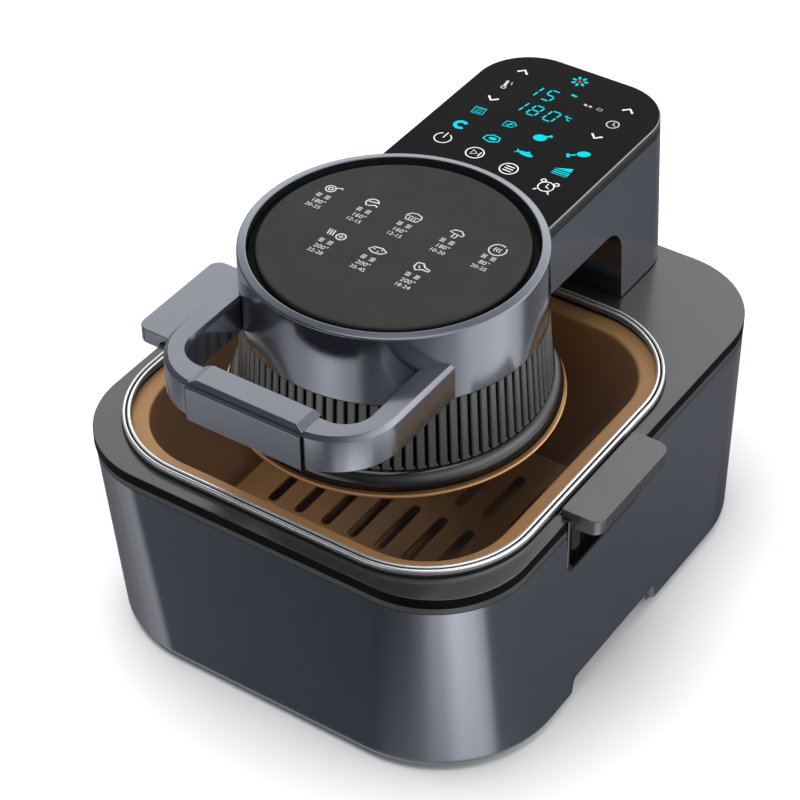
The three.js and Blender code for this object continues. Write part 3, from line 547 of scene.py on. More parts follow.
# ---------------------------------------------------------------- deck, its trim and the handle wells
def build_deck():
    mouth = span("pot")[1] * 2 + 2 * GAP

    def edge(inset, z):
        return raised(outline(-DECK_HALF + inset, DECK_HALF - inset, DECK_FRONT + inset, DECK_REAR - inset,
                              DECK_CORNER - inset), z)

    def opening(grow, z):
        return raised(square(mouth + 2 * grow, 67 + GAP + grow, HEAD_Y), z)

    levels = ((0.25, BAND_LOW), (0, BAND_LOW + 0.3), (0, DECK_TOP - 0.7), (0.08, DECK_TOP - 0.35),
              (0.3, DECK_TOP - 0.1), (0.7, DECK_TOP))
    outer = [edge(inset, z) for inset, z in levels]
    inner = [opening(0.6, DECK_TOP), opening(0.15, DECK_TOP - 0.2), opening(0, DECK_TOP - 0.6),
             opening(0, DECK_TOP - 3), edge(3, DECK_TOP - 3), edge(3, BAND_LOW)]
    deck = stack("deck_top", outer + inner, loop=True)
    rooms = [block("room", *sorted((sign * 139.5, sign * 160)), HEAD_Y - WELL_HALF + 0.4,
                   HEAD_Y + WELL_HALF - 0.4, BAND_LOW - 5, DECK_TOP + 5) for _, sign in SIDES]
    cut(deck, *rooms, cylinder("wire_hole", 9, DECK_TOP - 10, DECK_TOP + 5, 30, 150))
    finish(deck, "base", "deck_black", "deck_plate")
    # the deck's side faces take the darker copy, painted shade; its top keeps the deck's black
    deck.data.materials.append(LOOKS["deck_band_painted_shade"])
    for face in deck.data.polygons:
        face.material_index = 1 if face.center.z < (DECK_TOP - 0.5) * MM else 0


def build_wells():
    def body(name, top, sign, levels):
        """A box with rounded lower corners, from (inset, x) levels."""
        rings = []
        for inset, x in levels:
            plan = outline(HEAD_Y - WELL_HALF + inset, HEAD_Y + WELL_HALF - inset, WELL_LOW + inset, top,
                           WELL_CORNER - inset, 0.3, 0.3, WELL_CORNER - inset, steps=10)
            rings.append(sideways(plan, sign * x))
        return stack(name, rings)

    for side, sign in SIDES:
        well = body(f"handle_well_{side}", DECK_TOP - 0.3, sign,
                    ((0.6, 141.2), (0, 141.8), (0, 150.9), (0.5, 151.4)))
        cut(well, body("hollow", DECK_TOP + 9, sign, ((2.4, 143), (2.4, 150.4), (1.8, 152))))
        finish(well, "base", "gloss_black")


def trim_path(z, inset, front):
    """The housing's outline round the front or the rear, from the right well to the left one."""
    half, low, high, corner = housing_plan(z, inset)
    stop = HEAD_Y + (-1 if front else 1) * (WELL_HALF + GAP)
    if front:
        bends = (arc(half - corner, low + corner, corner, -90)[::-1]
                 + arc(-half + corner, low + corner, corner, 180)[::-1])
    else:
        bends = arc(half - corner, high - corner, corner, 0) + arc(-half + corner, high - corner, corner, 90)
    return [(half, stop)] + bends + [(-half, stop)]


def build_trims():
    section = softened([(0, TRIM_LOW), (0, TRIM_HIGH), (3, TRIM_HIGH), (3, TRIM_LOW)], 0.35, 2)
    for end in ("front", "rear"):
        paths = [[(x, y, z) for x, y in trim_path(z, inset, end == "front")] for inset, z in section]
        finish(stack(f"trim_{end}", list(zip(*paths))), "base", "trim_grey", f"deck_trim_{end}")


# ---------------------------------------------------------------- pot, crisper plate and pot handles
def build_pot():
    levels = [
        (209, 36, 25.5), (214, 38, 25.7), (221, 42, 27), (228, 46, 30), (234, 50, 34.5), (236.6, 51, 40),
        (249.4, 55, 149.5), (250.6, 55.5, 151.8), (253, 57, 152.5), (272.4, 66.6, 152.6),
        (273.1, 66.9, 152.9), (273.2, 67, 153.3), (272.8, 66.8, 153.8), (271.6, 66.4, 154),
        (252, 56.5, 153.8), (249.2, 55.1, 153.5), (248, 54.5, 152.8), (247.4, 54.1, 151.6),
        (246.9, 54, 149), (233.8, 49.4, 40.6), (231.8, 48.6, 35.6), (226, 45, 31), (219, 41, 28.4),
        (211, 37, 27.2), (206, 35, 27),
    ]
    rings = [raised(square(size, corner, HEAD_Y), z) for size, corner, z in levels]
    finish(stack("pot_bowl", rings), "base", "bronze_coating", "pot", smooth=40)


def build_crisper():
    low = span("crisper_plate")[5] - 2
    levels = [(221, 45.5, low), (222, 46, low + 0.5), (222, 46, low + 1.5), (221, 45.5, low + 2)]
    plate = stack("crisper_grid", [raised(square(size, corner, HEAD_Y), z) for size, corner, z in levels])
    slots = []
    for column in range(-4, 5):
        for row in (-1, 0, 1):
            x, y = column * 21, HEAD_Y + row * 62
            plan = outline(x - 3.5, x + 3.5, y - 24, y + 24, 3.4, steps=5)
            slots.append(stack("slot", [raised(plan, low - 2), raised(plan, low + 5)]))
    cut(plate, merged("slots", slots))
    legs = [cylinder("leg", 4.5, 27.4, low + 0.6, sx * 82, HEAD_Y + sy * 82, 32)
            for sx in (-1, 1) for sy in (-1, 1)]
    bevel(plate, 0.4, 2, 50)
    finish(merged("crisper_plate_looks", [plate] + legs), "base", "bronze_coating", "crisper_plate")


def build_pot_handles():
    for side, sign in SIDES:
        left, right, front, rear, low, high = span(f"pot_handle_{side}")
        inner, outer = (left, right) if sign > 0 else (right, left)
        soft = 0.6

        def plan(inset):
            a, b = sorted((inner + sign * inset, outer - sign * inset))
            radii = (8 - inset, 8 - inset, 1.2, 1.2) if sign > 0 else (1.2, 1.2, 8 - inset, 8 - inset)
            return outline(a, b, front + inset, rear - inset, *radii)

        rings = [raised(plan(0.8), low), raised(plan(0.2), low + 0.25), raised(plan(0), low + 0.8)]
        for k in range(5):
            turn = math.pi / 2 * k / 4
            rings.append(raised(plan(soft * (1 - math.cos(turn))), high - soft + soft * math.sin(turn)))
        slot = "pot_handle_grey" if sign > 0 else "handle_slate"
        finish(stack(f"handle_plate_{side}", rings), "base", slot, f"pot_handle_{side}")
        build_bracket(side, sign)


def build_bracket(side, sign):
    """A ledge over the pot's rim and a tongue that hangs in the handle well, with a window in it."""
    front, rear, low, high = span(f"pot_bracket_{side}")[2:]
    hanging = bar_along_x("hanging", outline(front, rear, low, high, 7, 0.6, 0.6, 7, steps=6),
                          sign * 145.2, sign * 147.8)
    window = outline(front + 10, rear - 10, low - 3, low + 16, 2, 5, 5, 2, steps=5)
    cut(hanging, bar_along_x("window", window, sign * 143, sign * 150))
    ledge = block("ledge", *sorted((sign * 125.5, sign * 160)), front, rear, high - 2.4, high)
    bevel(ledge, 0.5)
    bevel(hanging, 0.5)
    finish(merged(f"bracket_{side}", [ledge, hanging]), "base", "black_plastic", f"pot_bracket_{side}")


# ---------------------------------------------------------------- lid: rim, glass, seals
HOLE = 89.6                    # radius of the hole in the glass


def build_lid():
    low, high = RIM[4:]
    width = RIM[1] - RIM_INNER / 2
    groove = high - 1.2
    profile = softened([
        (0, low), (0, high - 0.6, 0.5), (0.5, high, 0.6), (1.6, high, 0.6), (2.1, high - 0.6, 0.4),
        (2.1, groove, 0.1), (3.1, groove, 0.1), (3.1, high - 0.6, 0.4), (3.6, high, 0.6),
        (width - 0.8, high, 0.7), (width, high - 0.8, 0.6), (width, low)], 0.3, 4)
    rim = banded("chrome_rim", RIM_INNER, RIM_CORNER, HEAD_Y, profile)
    # the band is hollowed for the glass edge, as the CAD rim is
    slot = [(-5, low + 0.4), (3, low + 0.4), (3, low + 2.55), (-5, low + 2.55)]
    cut(rim, banded("slot", RIM_INNER, RIM_CORNER, HEAD_Y, slot))
    finish(rim, "lid", "chrome", "lid_rim", smooth=50)
    inlay = softened([(1.9, groove - 0.1), (1.9, high - 0.6), (3.3, high - 0.6), (3.3, groove - 0.1)], 0.1, 1)
    # the filler's near-black paints the shade in the rim's groove
    finish(banded("rim_inlay", RIM_INNER, RIM_CORNER, HEAD_Y, inlay), "lid", LOOKS["gap_painted_shade"])
    _, right, _, _, low, high = span("lid_gasket")
    seal = softened([(-3, low), (-3, high), (0, high), (0.15, low + 0.4), (-0.4, low)], 0.25, 2)
    finish(banded("seal", right * 2 - 0.3, 73.35, HEAD_Y, seal), "lid", "rubber", "lid_gasket")
    _, right, _, _, low, high = span("glass_lid")

    def pane(inset, z):
        return raised(square(right * 2 - 2 * inset, 71 - inset, HEAD_Y), z)

    def hole(z):
        return raised(outline(-HOLE, HOLE, HEAD_Y - HOLE, HEAD_Y + HOLE, HOLE), z)

    rings = [pane(0.3, low), pane(0, low + 0.3), pane(0, high - 0.3), pane(0.3, high), hole(high), hole(low)]
    finish(stack("glass_pane", rings, loop=True), "lid", "clear_glass", "glass_lid")


# ---------------------------------------------------------------- lid: the round head
def build_head():
    low, high = span("reflector_ring")[4:]
    ring = softened([(89.8, low), (105.2, low), (105.2, high), (89.8, high)], 0.5, 3)
    finish(turned("copper_ring", ring), "lid", "copper", "reflector_ring")
    _, reach, _, _, low, high = span("head_flange")
    neck, foot = 96.9, 1.2
    rise = high - low - foot
    bulge = [(91, low), (reach - 0.8, low)]
    for k in range(15):
        turn = math.pi / 2 * k / 14
        bulge.append((neck + (reach - neck) * math.cos(turn), low + foot + rise * math.sin(turn)))
    bulge.append((91, high))
    finish(turned("flange_bulge", bulge), "lid", "gloss_black", "head_flange", smooth=50)
    build_grille()
    _, skirt, _, _, seam, top = span("head_shell")
    radius, lip = 93.0, 86.8
    shell = softened([
        (skirt - 3, seam, 0.2), (skirt, seam, 0.5), (radius, top - 1.3, 1.3), (lip + 0.5, top, 1.0),
        (lip, top - 9, 0.1), (lip + 1.5, top - 9, 0.1), (radius - 3, top - 6, 1)], 0.5, 5)
    case = turned("head_case", shell)
    cut(case, block("window", -30, 30, HEAD_Y + 60, HEAD_Y + 120, 228, 250))
    finish(case, "lid", "slate_paint", "head_shell", smooth=30)
    _, edge, _, _, low, high = span("menu_disc")
    face = [(0, low), (edge - 0.3, low), (edge, low + 0.4), (edge, high - 1.5), (edge - 0.25, high - 0.7),
            (edge - 0.8, high - 0.2), (edge - 1.6, high), (edge - 4, high), (0, high)]
    finish(disc("menu_face_disc", face, 0, HEAD_Y), "lid", "menu_face", "menu_disc", smooth=50)
    low = span("head_cap")[4]
    tray = [(0, low), (86.5, low), (86.5, low + 3), (82.6, low + 3), (82.6, low + 2), (0, low + 2)]
    # the tray under the gap round the menu disc is near-black, painted shade for the shadow gap
    finish(disc("gap_floor", tray, 0, HEAD_Y), "lid", LOOKS["gap_painted_shade"], "head_cap")


SLATS = 88
SLAT_SHARE = 0.65              # of the pitch that a slat fills


def build_grille():
    """Slats that flare a little from the head's skirt down to the flange, before a near-black wall that paints
    the shade behind them.
    """
    _, radius, _, _, low, high = span("grille_ring")
    inner, neck = 91.8, HEAD_SKIRT - 0.2
    pitch = math.tau / SLATS
    half = radius * pitch * SLAT_SHARE / 2
    points, faces = [], []

    def section(reach, z):
        return [(inner, -half * 0.8, z), (reach - 0.7, -half, z), (reach, -half * 0.7, z),
                (reach, half * 0.7, z), (reach - 0.7, half, z), (inner, half * 0.8, z)]

    def add(turn, rings):
        """A body of (radius, across, z) rings, turned to its place."""
        faces.extend(skin(rings, first=len(points)))
        c, s = math.cos(turn), math.sin(turn)
        points.extend((r * c - t * s, HEAD_Y + r * s + t * c, z) for ring in rings for r, t, z in ring)

    slat = [section(radius, low), section(neck, high)]
    # a small moulded lug stands at the foot of each slot
    lug = [[(radius - 1.4 + 1.3 * u * w, half + 0.5 + 0.8 * v * w, low + h) for u, v in circle(1, 0, 0, 8)]
           for w, h in ((1, 0), (0.9, 0.5), (0.5, 0.9))]
    for i in range(SLATS):
        add((i + 0.5) * pitch, slat)
        add((i + 0.5) * pitch, lug)
    finish(raw("slat_bars", points, faces), "lid", "grille_grey", "grille_ring", smooth=30)
    # the wall behind the slats is painted shade
    back, face = inner - 1.6, inner + 0.6
    wall = softened([(back, low), (face, low), (face, high), (back, high)], 0.2, 1)
    finish(turned("slat_wall", wall), "lid", LOOKS["gap_painted_shade"])


# ---------------------------------------------------------------- lid: front D-handle and its grip
HANDLE = span("handle_frame")
HANDLE_HALF, HANDLE_FRONT, HANDLE_LOW, HANDLE_TOP = HANDLE[1], HANDLE[2], HANDLE[4], HANDLE[5]
LOOP_WIDTH = 15.6              # of the loop's two arms
GRIP_DEPTH = 18.8              # of its front bar


def handle_paths():
    """Matching points along the loop's outer and inner outlines, from the right arm to the left one."""
    def path(half, front, corner):
        # each arm ends on the head's round skirt
        end = HEAD_Y - math.sqrt((HEAD_SKIRT + 0.3) ** 2 - half ** 2)
        arm = [(half, mix(end, front + corner, t)) for t in (0, 0.25, 0.5, 0.75)]
        bend = arc(half - corner, front + corner, corner, -90, 16)[::-1]
        bar = [(half - corner - (half - corner) * t, front) for t in (0.2, 0.4, 0.6, 0.8)]
        right = arm + bend + bar
        return right + [(0, front)] + [(-x, y) for x, y in reversed(right)]
    return (path(HANDLE_HALF, HANDLE_FRONT, 41),
            path(HANDLE_HALF - LOOP_WIDTH, HANDLE_FRONT + GRIP_DEPTH, 17.4))


def build_handle():
    outer, inner = handle_paths()
    low, top = HANDLE_LOW, HANDLE_TOP
    # (share of the way in, millimetres from that side, z): an outer face, a chamfered shoulder and the top
    section = [
        (0, 1.6, low), (0, 0.5, low + 0.35), (0, 0, low + 1.4), (0, 0, top - 2.8), (0, 0.15, top - 2.45),
        (0, 2.35, top - 0.25), (0, 2.7, top),
        (1, -2.4, top), (1, -2.05, top - 0.2), (1, -0.2, top - 2.05), (1, 0, top - 2.4), (1, 0, low + 1.4),
        (1, -0.5, low + 0.35), (1, -1.6, low),
    ]
    sections = []
    for (ox, oy), (ix, iy) in zip(outer, inner):
        width = math.hypot(ix - ox, iy - oy)
        ring = []
        for share, offset, z in section:
            t = share + offset / width
            ring.append((mix(ox, ix, t), mix(oy, iy, t), z))
        sections.append(ring)
    loop = stack("handle_loop_frame", sections)
    finish(loop, "lid", "handle_slate", "handle_frame", smooth=35)
    build_grip()


def build_grip():
    """A sleeve with chamfered upper edges and sloped ends round the middle of the handle's front bar."""
    front, rear = HANDLE_FRONT - 1.8, HANDLE_FRONT + GRIP_DEPTH + 1.8
    low, high = HANDLE_LOW - 1.8, HANDLE_TOP + 2.4
    half = span("handle_grip")[1]
    slope = 5.2

    def section(x, lift):
        top = high - lift
        shoulder = min(4.7, top - HANDLE_TOP + 2.6)
        return sideways(softened([
            (front + 1.2, low, 0.8), (front, low + 1.2, 0.8), (front, top - shoulder, 0.5),
            (front + shoulder * 0.95, top, 0.5), (rear - 1.8, top, 0.4), (rear, top - 1.8, 0.4),
            (rear, low + 1.2, 0.8), (rear - 1.2, low, 0.8)], 0.8, 3), x)

    right = [(half - slope, 0), (half - slope + 0.4, 0.15), (half - 0.3, 2.2), (half, 2.3)]
    steps = [(-x, lift) for x, lift in reversed(right)] + [(0, 0)] + right
    sleeve = stack("grip_sleeve", [section(x, lift) for x, lift in steps])
    core = outline(HANDLE_FRONT - GAP, HANDLE_FRONT + GRIP_DEPTH + GAP, HANDLE_LOW - GAP, HANDLE_TOP + 0.05,
                   0.3, steps=2)
    cut(sleeve, bar_along_x("core", core, -60, 60))
    finish(sleeve, "lid", "handle_slate", "handle_grip", smooth=30)
    # near-black blocks at the sleeve's ends paint the shade in its seams
    seams = [block("seam", *sorted((sign * (half - 0.1), sign * (half + 0.8))), front + 0.5, HANDLE_FRONT + 3,
                   low + 0.5, HANDLE_TOP - 2.6) for _, sign in SIDES]
    finish(merged("grip_seams", seams), "lid", LOOKS["gap_painted_shade"])


# ---------------------------------------------------------------- lid: arm, column and touch panel
TOWER_HALF, TOWER_FRONT, TOWER_REAR, TOWER_CORNER = 64.3, 26.0, span("tower_shell")[3], 38.0
TOWER_FOOT, SHELL_TOP = span("tower_shell")[4:]
PANEL_LOW, PANEL_TOP = span("control_panel")[4:]
FOOT_SPREAD = span("tower_shell")[1] / TOWER_HALF - 1


def tower_outline(z, inset):
    """The tower's (x, y) outline at height z; the column widens a little towards its foot."""
    spread = 1 + FOOT_SPREAD * (PANEL_TOP - z) / (PANEL_TOP - TOWER_FOOT)
    plan = outline(-TOWER_HALF + inset, TOWER_HALF - inset, TOWER_FRONT + inset, TOWER_REAR - inset,
                   8 - inset * 0.5, TOWER_CORNER - inset, TOWER_CORNER - inset, 8 - inset * 0.5)
    return [(x * spread, y) for x, y in plan]


def tower_plan(z, inset=0.0):
    return raised(tower_outline(z, inset), z)


def head_room(grow=0.4):
    """Room for the round head, which the arm reaches round."""
    return [cylinder("room", HEAD_SKIRT + grow, 100, 300, 0, HEAD_Y, TURN_STEPS),
            cylinder("room", 96.8 + grow, 100, span("head_shell")[4] + GAP, 0, HEAD_Y, TURN_STEPS)]


def tunnel(margin):
    rear, top, corner = 122.5 + margin, 212.5 + margin, 18 - margin
    bend = arc(rear - corner, top - corner, corner, 0, 12)
    return bar_along_x("tunnel", [(-60, 100), (rear, 100)] + bend + [(-60, top)], -100, 100)


def build_tower():
    shell = stack("arm_and_column", [tower_plan(z) for z in (TOWER_FOOT, 190, 220, SHELL_TOP)])
    cut(shell, tunnel(0), *head_room())
    hollow = stack("hollow", [tower_plan(z, WALL) for z in (TOWER_FOOT - 5, SHELL_TOP + 5)])
    cut(hollow, tunnel(WALL))
    left, right = span("hinge_leaf")[:2]
    pin = span("hinge_pin")
    hinge_y, hinge_z = (pin[2] + pin[3]) / 2, (pin[4] + pin[5]) / 2
    heel = block("heel", -80, 80, hinge_y, 220, 140, hinge_z)
    cut(heel, bar_along_x("sweep", circle(7.2, hinge_y, hinge_z, 48), -90, 90))
    room = block("room", left - 1.6, right + 1.6, 184, 220, 140, 172.4)
    cover = block("cover", -22, 22, 190, 220, 182, 238)
    cut(shell, hollow, heel, room, cover)
    finish(shell, "lid", "slate_paint", "tower_shell", smooth=28)
    build_bezel()
    build_panel()


def build_bezel():
    low, high = span("panel_bezel")[4:]
    levels = ((low, 0.3), (low + 0.4, 0.05), (high - 0.2, 0.05), (high, 0.3))
    bezel = stack("bezel_band", [tower_plan(z, inset) for z, inset in levels])
    cut(bezel, stack("inner", [tower_plan(low - 1, 4), tower_plan(high + 1, 4)]), *head_room())
    finish(bezel, "lid", "gloss_black", "panel_bezel", smooth=28)


def build_panel():
    """The touch glass with dark sides; its rounded upper edge takes a more reflective copy of the glass, a
    painted highlight line.
    """
    soft = 1.1
    levels = [(0.25, PANEL_LOW), (0, PANEL_LOW + 0.3)]
    for k in range(6):
        turn = math.pi / 2 * k / 5
        levels.append((soft * (1 - math.cos(turn)), PANEL_TOP - soft + soft * math.sin(turn)))
    panel = stack("touch_panel", [raised(tower_outline(PANEL_TOP, inset), z) for inset, z in levels])
    cut(panel, *head_room())
    finish(panel, "lid", "touch_glass", "control_panel", smooth=40)
    panel.data.materials.append(LOOKS["glass_edge_painted_highlight"])
    panel.data.materials.append(LOOKS["gloss_black"])
    # faces are sorted by how they tilt: the rounded lip takes the brighter copy, a painted highlight
    for face in panel.data.polygons:
        tilt = face.normal.z
        face.material_index = 0 if tilt > 0.96 else 1 if tilt > 0.15 else 2


# ---------------------------------------------------------------- symbols on the panel and the menu disc
class Ink:
    """Flat raised marks of one colour on a level surface."""

    def __init__(self, name, z, look, thickness=0.08):
        self.name, self.z, self.look, self.thickness = name, z, look, thickness
        self.lines, self.fills, self.texts = [], [], []

    def line(self, points, width=0.9, closed=False):
        self.lines.append((raised(points, 0), width, closed))

    def ring(self, x, y, radius, width=0.9, start=0, end=360):
        steps = max(8, int(abs(end - start) / 12))
        closed = end - start >= 360
        count = steps if closed else steps + 1
        angles = [math.radians(start + (end - start) * i / steps) for i in range(count)]
        self.line([(x + radius * math.cos(a), y + radius * math.sin(a)) for a in angles], width, closed)

    def fill(self, points):
        self.fills.append(points)

    def blob(self, x, y, rx, ry, turn=0.0, steps=20):
        """A filled ellipse, turned by some degrees."""
        c, s = math.cos(math.radians(turn)), math.sin(math.radians(turn))
        ring = [(rx * u, ry * v) for u, v in circle(1, 0, 0, steps)]
        self.fill([(x + u * c - v * s, y + u * s + v * c) for u, v in ring])

    def text(self, words, x, y, size):
        self.texts.append((words, x, y, size))

    def strokes(self):
        """Each line as a flattened round cord."""
        mesh = cords(self.name, self.lines, 2)
        highest = max(v.co.z for v in mesh.vertices)
        for v in mesh.vertices:
            v.co.z = self.z * MM + v.co.z / highest * self.thickness * MM
        return mesh

    def lettering(self, words, x, y, size):
        curve = bpy.data.curves.new(self.name, "FONT")
        curve.body = words
        curve.size = size * MM
        curve.align_x = "CENTER"
        curve.align_y = "CENTER"
        curve.extrude = self.thickness * MM
        curve.resolution_u = 3
        mesh = meshed(self.name, curve)
        mesh.transform(Matrix.Translation(at(x, y, self.z)))
        return mesh

    def make(self, body):
        shape = bmesh.new()
        if self.lines:
            shape.from_mesh(self.strokes())
        for words, x, y, size in self.texts:
            shape.from_mesh(self.lettering(words, x, y, size))
        for points in self.fills:
            low = [shape.verts.new(at(x, y, self.z - self.thickness)) for x, y in points]
            high = [shape.verts.new(at(x, y, self.z + self.thickness)) for x, y in points]
            shape.faces.new(reversed(low))
            shape.faces.new(high)
            for i in range(len(points)):
                j = (i + 1) % len(points)
                shape.faces.new((low[i], low[j], high[j], high[i]))
        bmesh.ops.recalc_face_normals(shape, faces=shape.faces)
        mesh = bpy.data.meshes.new(self.name)
        shape.to_mesh(mesh)
        shape.free()
        finish(new_object(self.name, mesh), body, self.look)


SEGMENTS = {"0": "abcdef", "1": "bc", "2": "abged", "5": "afgcd", "8": "abcdefg"}


def led_digit(ink, x, y, digit, width, height, lean=0.13, stroke=1.15):
    """A seven-segment digit, its lower left corner at (x, y)."""
    gap = 0.8
    half = height / 2
    ends = {
        "a": ((gap, height), (width - gap, height)), "b": ((width, height - gap), (width, half + gap)),
        "c": ((width, half - gap), (width, gap)), "d": ((gap, 0), (width - gap, 0)),
        "e": ((0, gap), (0, half - gap)), "f": ((0, half + gap), (0, height - gap)),
        "g": ((gap, half), (width - gap, half)),
    }
    for name in SEGMENTS[digit]:
        ink.line([(x + u + v * lean, y + v) for u, v in ends[name]], stroke)


def draw(ink, marks, x=0, y=0):
    """Marks given round (0, 0), drawn round (x, y). A ring is (centre, radius, width, ends), a blob (centre,
    half sizes, turn, points), a digit (lower left corner, digit, sizes); others are a width and their points."""
    for kind, first, *rest in marks:
        if kind == "ring":
            ink.ring(x + first[0], y + first[1], *rest)
        elif kind == "blob":
            ink.blob(x + first[0], y + first[1], *rest)
        elif kind == "digit":
            led_digit(ink, x + first[0], y + first[1], *rest)
        elif kind == "fill":
            ink.fill([(x + u, y + v) for u, v in rest])
        else:
            ink.line([(x + u, y + v) for u, v in rest], first, closed=kind == "loop")


def chevron(x, y, way):
    return "line", 1.5, (x - 3.7, y - way * 1.9), (x, y + way * 1.9), (x + 3.7, y - way * 1.9)


FAN_X, FAN_Y = -3.4, 184.6
BLADES = [math.tau * i / 7 + 0.3 for i in range(7)]
PANEL_WHITE = [
    chevron(-40, 175, 1), chevron(-40, 137, -1), chevron(40, 172.6, 1), chevron(37.5, 135.8, -1),
    # power, start, menu and alarm keys
    ("ring", (-42.2, 82.5), 5.5, 0.75, 118, 422), ("line", 0.75, (-42.2, 89.2), (-42.2, 82.8)),
    ("ring", (-16.4, 79.5), 5.8, 0.8), ("loop", 0.65, (-18.6, 82), (-18.6, 77), (-14.8, 79.5)),
    ("line", 0.8, (-13, 82), (-13, 77)), ("ring", (10.5, 76.2), 5.8, 0.85),
    *(("line", 0.85, (7.4, 76.2 + rise), (13.6, 76.2 + rise)) for rise in (-2.4, 0, 2.4)),
    ("ring", (39.7, 72.3), 5.0, 0.8), ("line", 0.75, (39.7, 75.6), (39.7, 72), (42.4, 71.2)),
    ("ring", (35.1, 77.4), 1.5, 0.8), ("line", 1.0, (35.9, 67.8), (34.3, 65.8)),
    ("ring", (44.3, 77.4), 1.5, 0.8), ("line", 1.0, (43.5, 67.8), (45.1, 65.8)),
]
PANEL_GREY = [
    # thermometer
    ("line", 1.9, (-42.6, 160.4), (-41.6, 153.8)), ("ring", (-41.4, 152.4), 1.5, 0.8),
    ("line", 0.6, (-39.4, 160.4), (-38.4, 157.2)),
    # state lamps and the clock
    ("line", 1.6, (12.6, 163.6), (15, 162.8)), ("line", 1.6, (16.4, 163.4), (18.2, 163.0)),
    ("loop", 0.5, (22.6, 164.8), (25.6, 164.4), (25.2, 162.0), (22.2, 162.4)),
    ("ring", (39.5, 153.3), 4.0, 0.8), ("line", 0.7, (39.5, 156), (39.5, 153.2), (41.8, 152.4)),
]
PANEL_LIT = [
    *(("blob", (FAN_X + 4.1 * math.cos(a), FAN_Y + 4.1 * math.sin(a)), 1.7, 0.95, math.degrees(a), 12)
      for a in BLADES),
    # time and temperature
    ("digit", (-26.5, 154.0), "1", 6.2, 12.4), ("digit", (-14.6, 154.0), "5", 6.4, 12.4),
    ("line", 1.8, (0.2, 168.6), (4.2, 168.2)),
    ("digit", (-24.5, 134.4), "1", 5.6, 11.6), ("digit", (-13.6, 134.4), "8", 6.2, 11.6),
    ("digit", (-1.6, 134.4), "0", 6.6, 11.6),
    ("ring", (10.6, 145.0), 0.8, 0.6), ("ring", (13.8, 143.2), 1.7, 0.8, 60, 300),
    # presets, from the left
    ("loop", 0.8, (-44, 124), (-36.4, 124.6), (-35.6, 117.8), (-43.2, 116.8)),
    *(("line", 0.6, (-42.4, 118.6 + step), (-37.4, 119.0 + step)) for step in (0, 2.1, 4.2)),
    ("ring", (-40.7, 100.9), 3.6, 2.6, 40, 320),
    ("loop", 0.8, (-18.6, 114.6), (-12.6, 115.6), (-10.6, 119.2), (-13.6, 121.6), (-18.6, 120.4)),
    ("line", 0.7, (-17, 117), (-12.6, 119.4)), ("line", 0.7, (-15.4, 115.4), (-14.6, 120.6)),
    ("loop", 1.1, (-21, 96), (-15.4, 94.4), (-10.6, 97.4), (-11.6, 101.6), (-17, 102.4), (-20.6, 99.8)),
    ("blob", (-15.4, 98.6), 2.6, 1.5, 10), ("blob", (8.9, 115.6), 4.4, 3.6, 20),
    ("line", 1.7, (11.6, 118.4), (14.2, 120.8)), ("line", 1.2, (13.4, 121.8), (15.2, 119.6)),
    ("blob", (10.8, 95.4), 5.2, 1.9, -4), ("fill", 0, (6.6, 95.6), (3.6, 98.2), (4.4, 95.6), (3.4, 93.4)),
    ("fill", 0, (9.8, 97.0), (12.0, 99.0), (13.2, 96.8)),
    ("blob", (41.2, 114.8), 4.4, 3.0, 32), ("line", 1.4, (37.4, 111.8), (33.4, 108.4)),
    ("blob", (33.0, 109.4), 1.1, 1.1), ("blob", (34.2, 107.6), 1.1, 1.1),
    ("fill", 0, (34.0, 92.6), (44.2, 97.4), (45.0, 93.2)),
    *(("line", 1.1, (34.2, 91.0 - drop), (44.8, 91.4 - drop)) for drop in (0, 2.1)),
    ("line", 0.6, (34.2, 87.2), (44.6, 87.4), (44.9, 91.4)),
]
PANEL_HOT = [("blob", (FAN_X, FAN_Y), 1.2, 1.2)]


def panel_symbols():
    for name, ink_look, marks in (
            ("panel_marks_white", INK_WHITE_GLOWING, PANEL_WHITE), ("panel_marks_grey", INK_GREY, PANEL_GREY),
            ("panel_marks_lit", LIT_CYAN, PANEL_LIT), ("panel_mark_hot", LIT_RED, PANEL_HOT)):
        ink = Ink(name, PANEL_TOP, ink_look)
        draw(ink, marks)
        ink.make("lid")


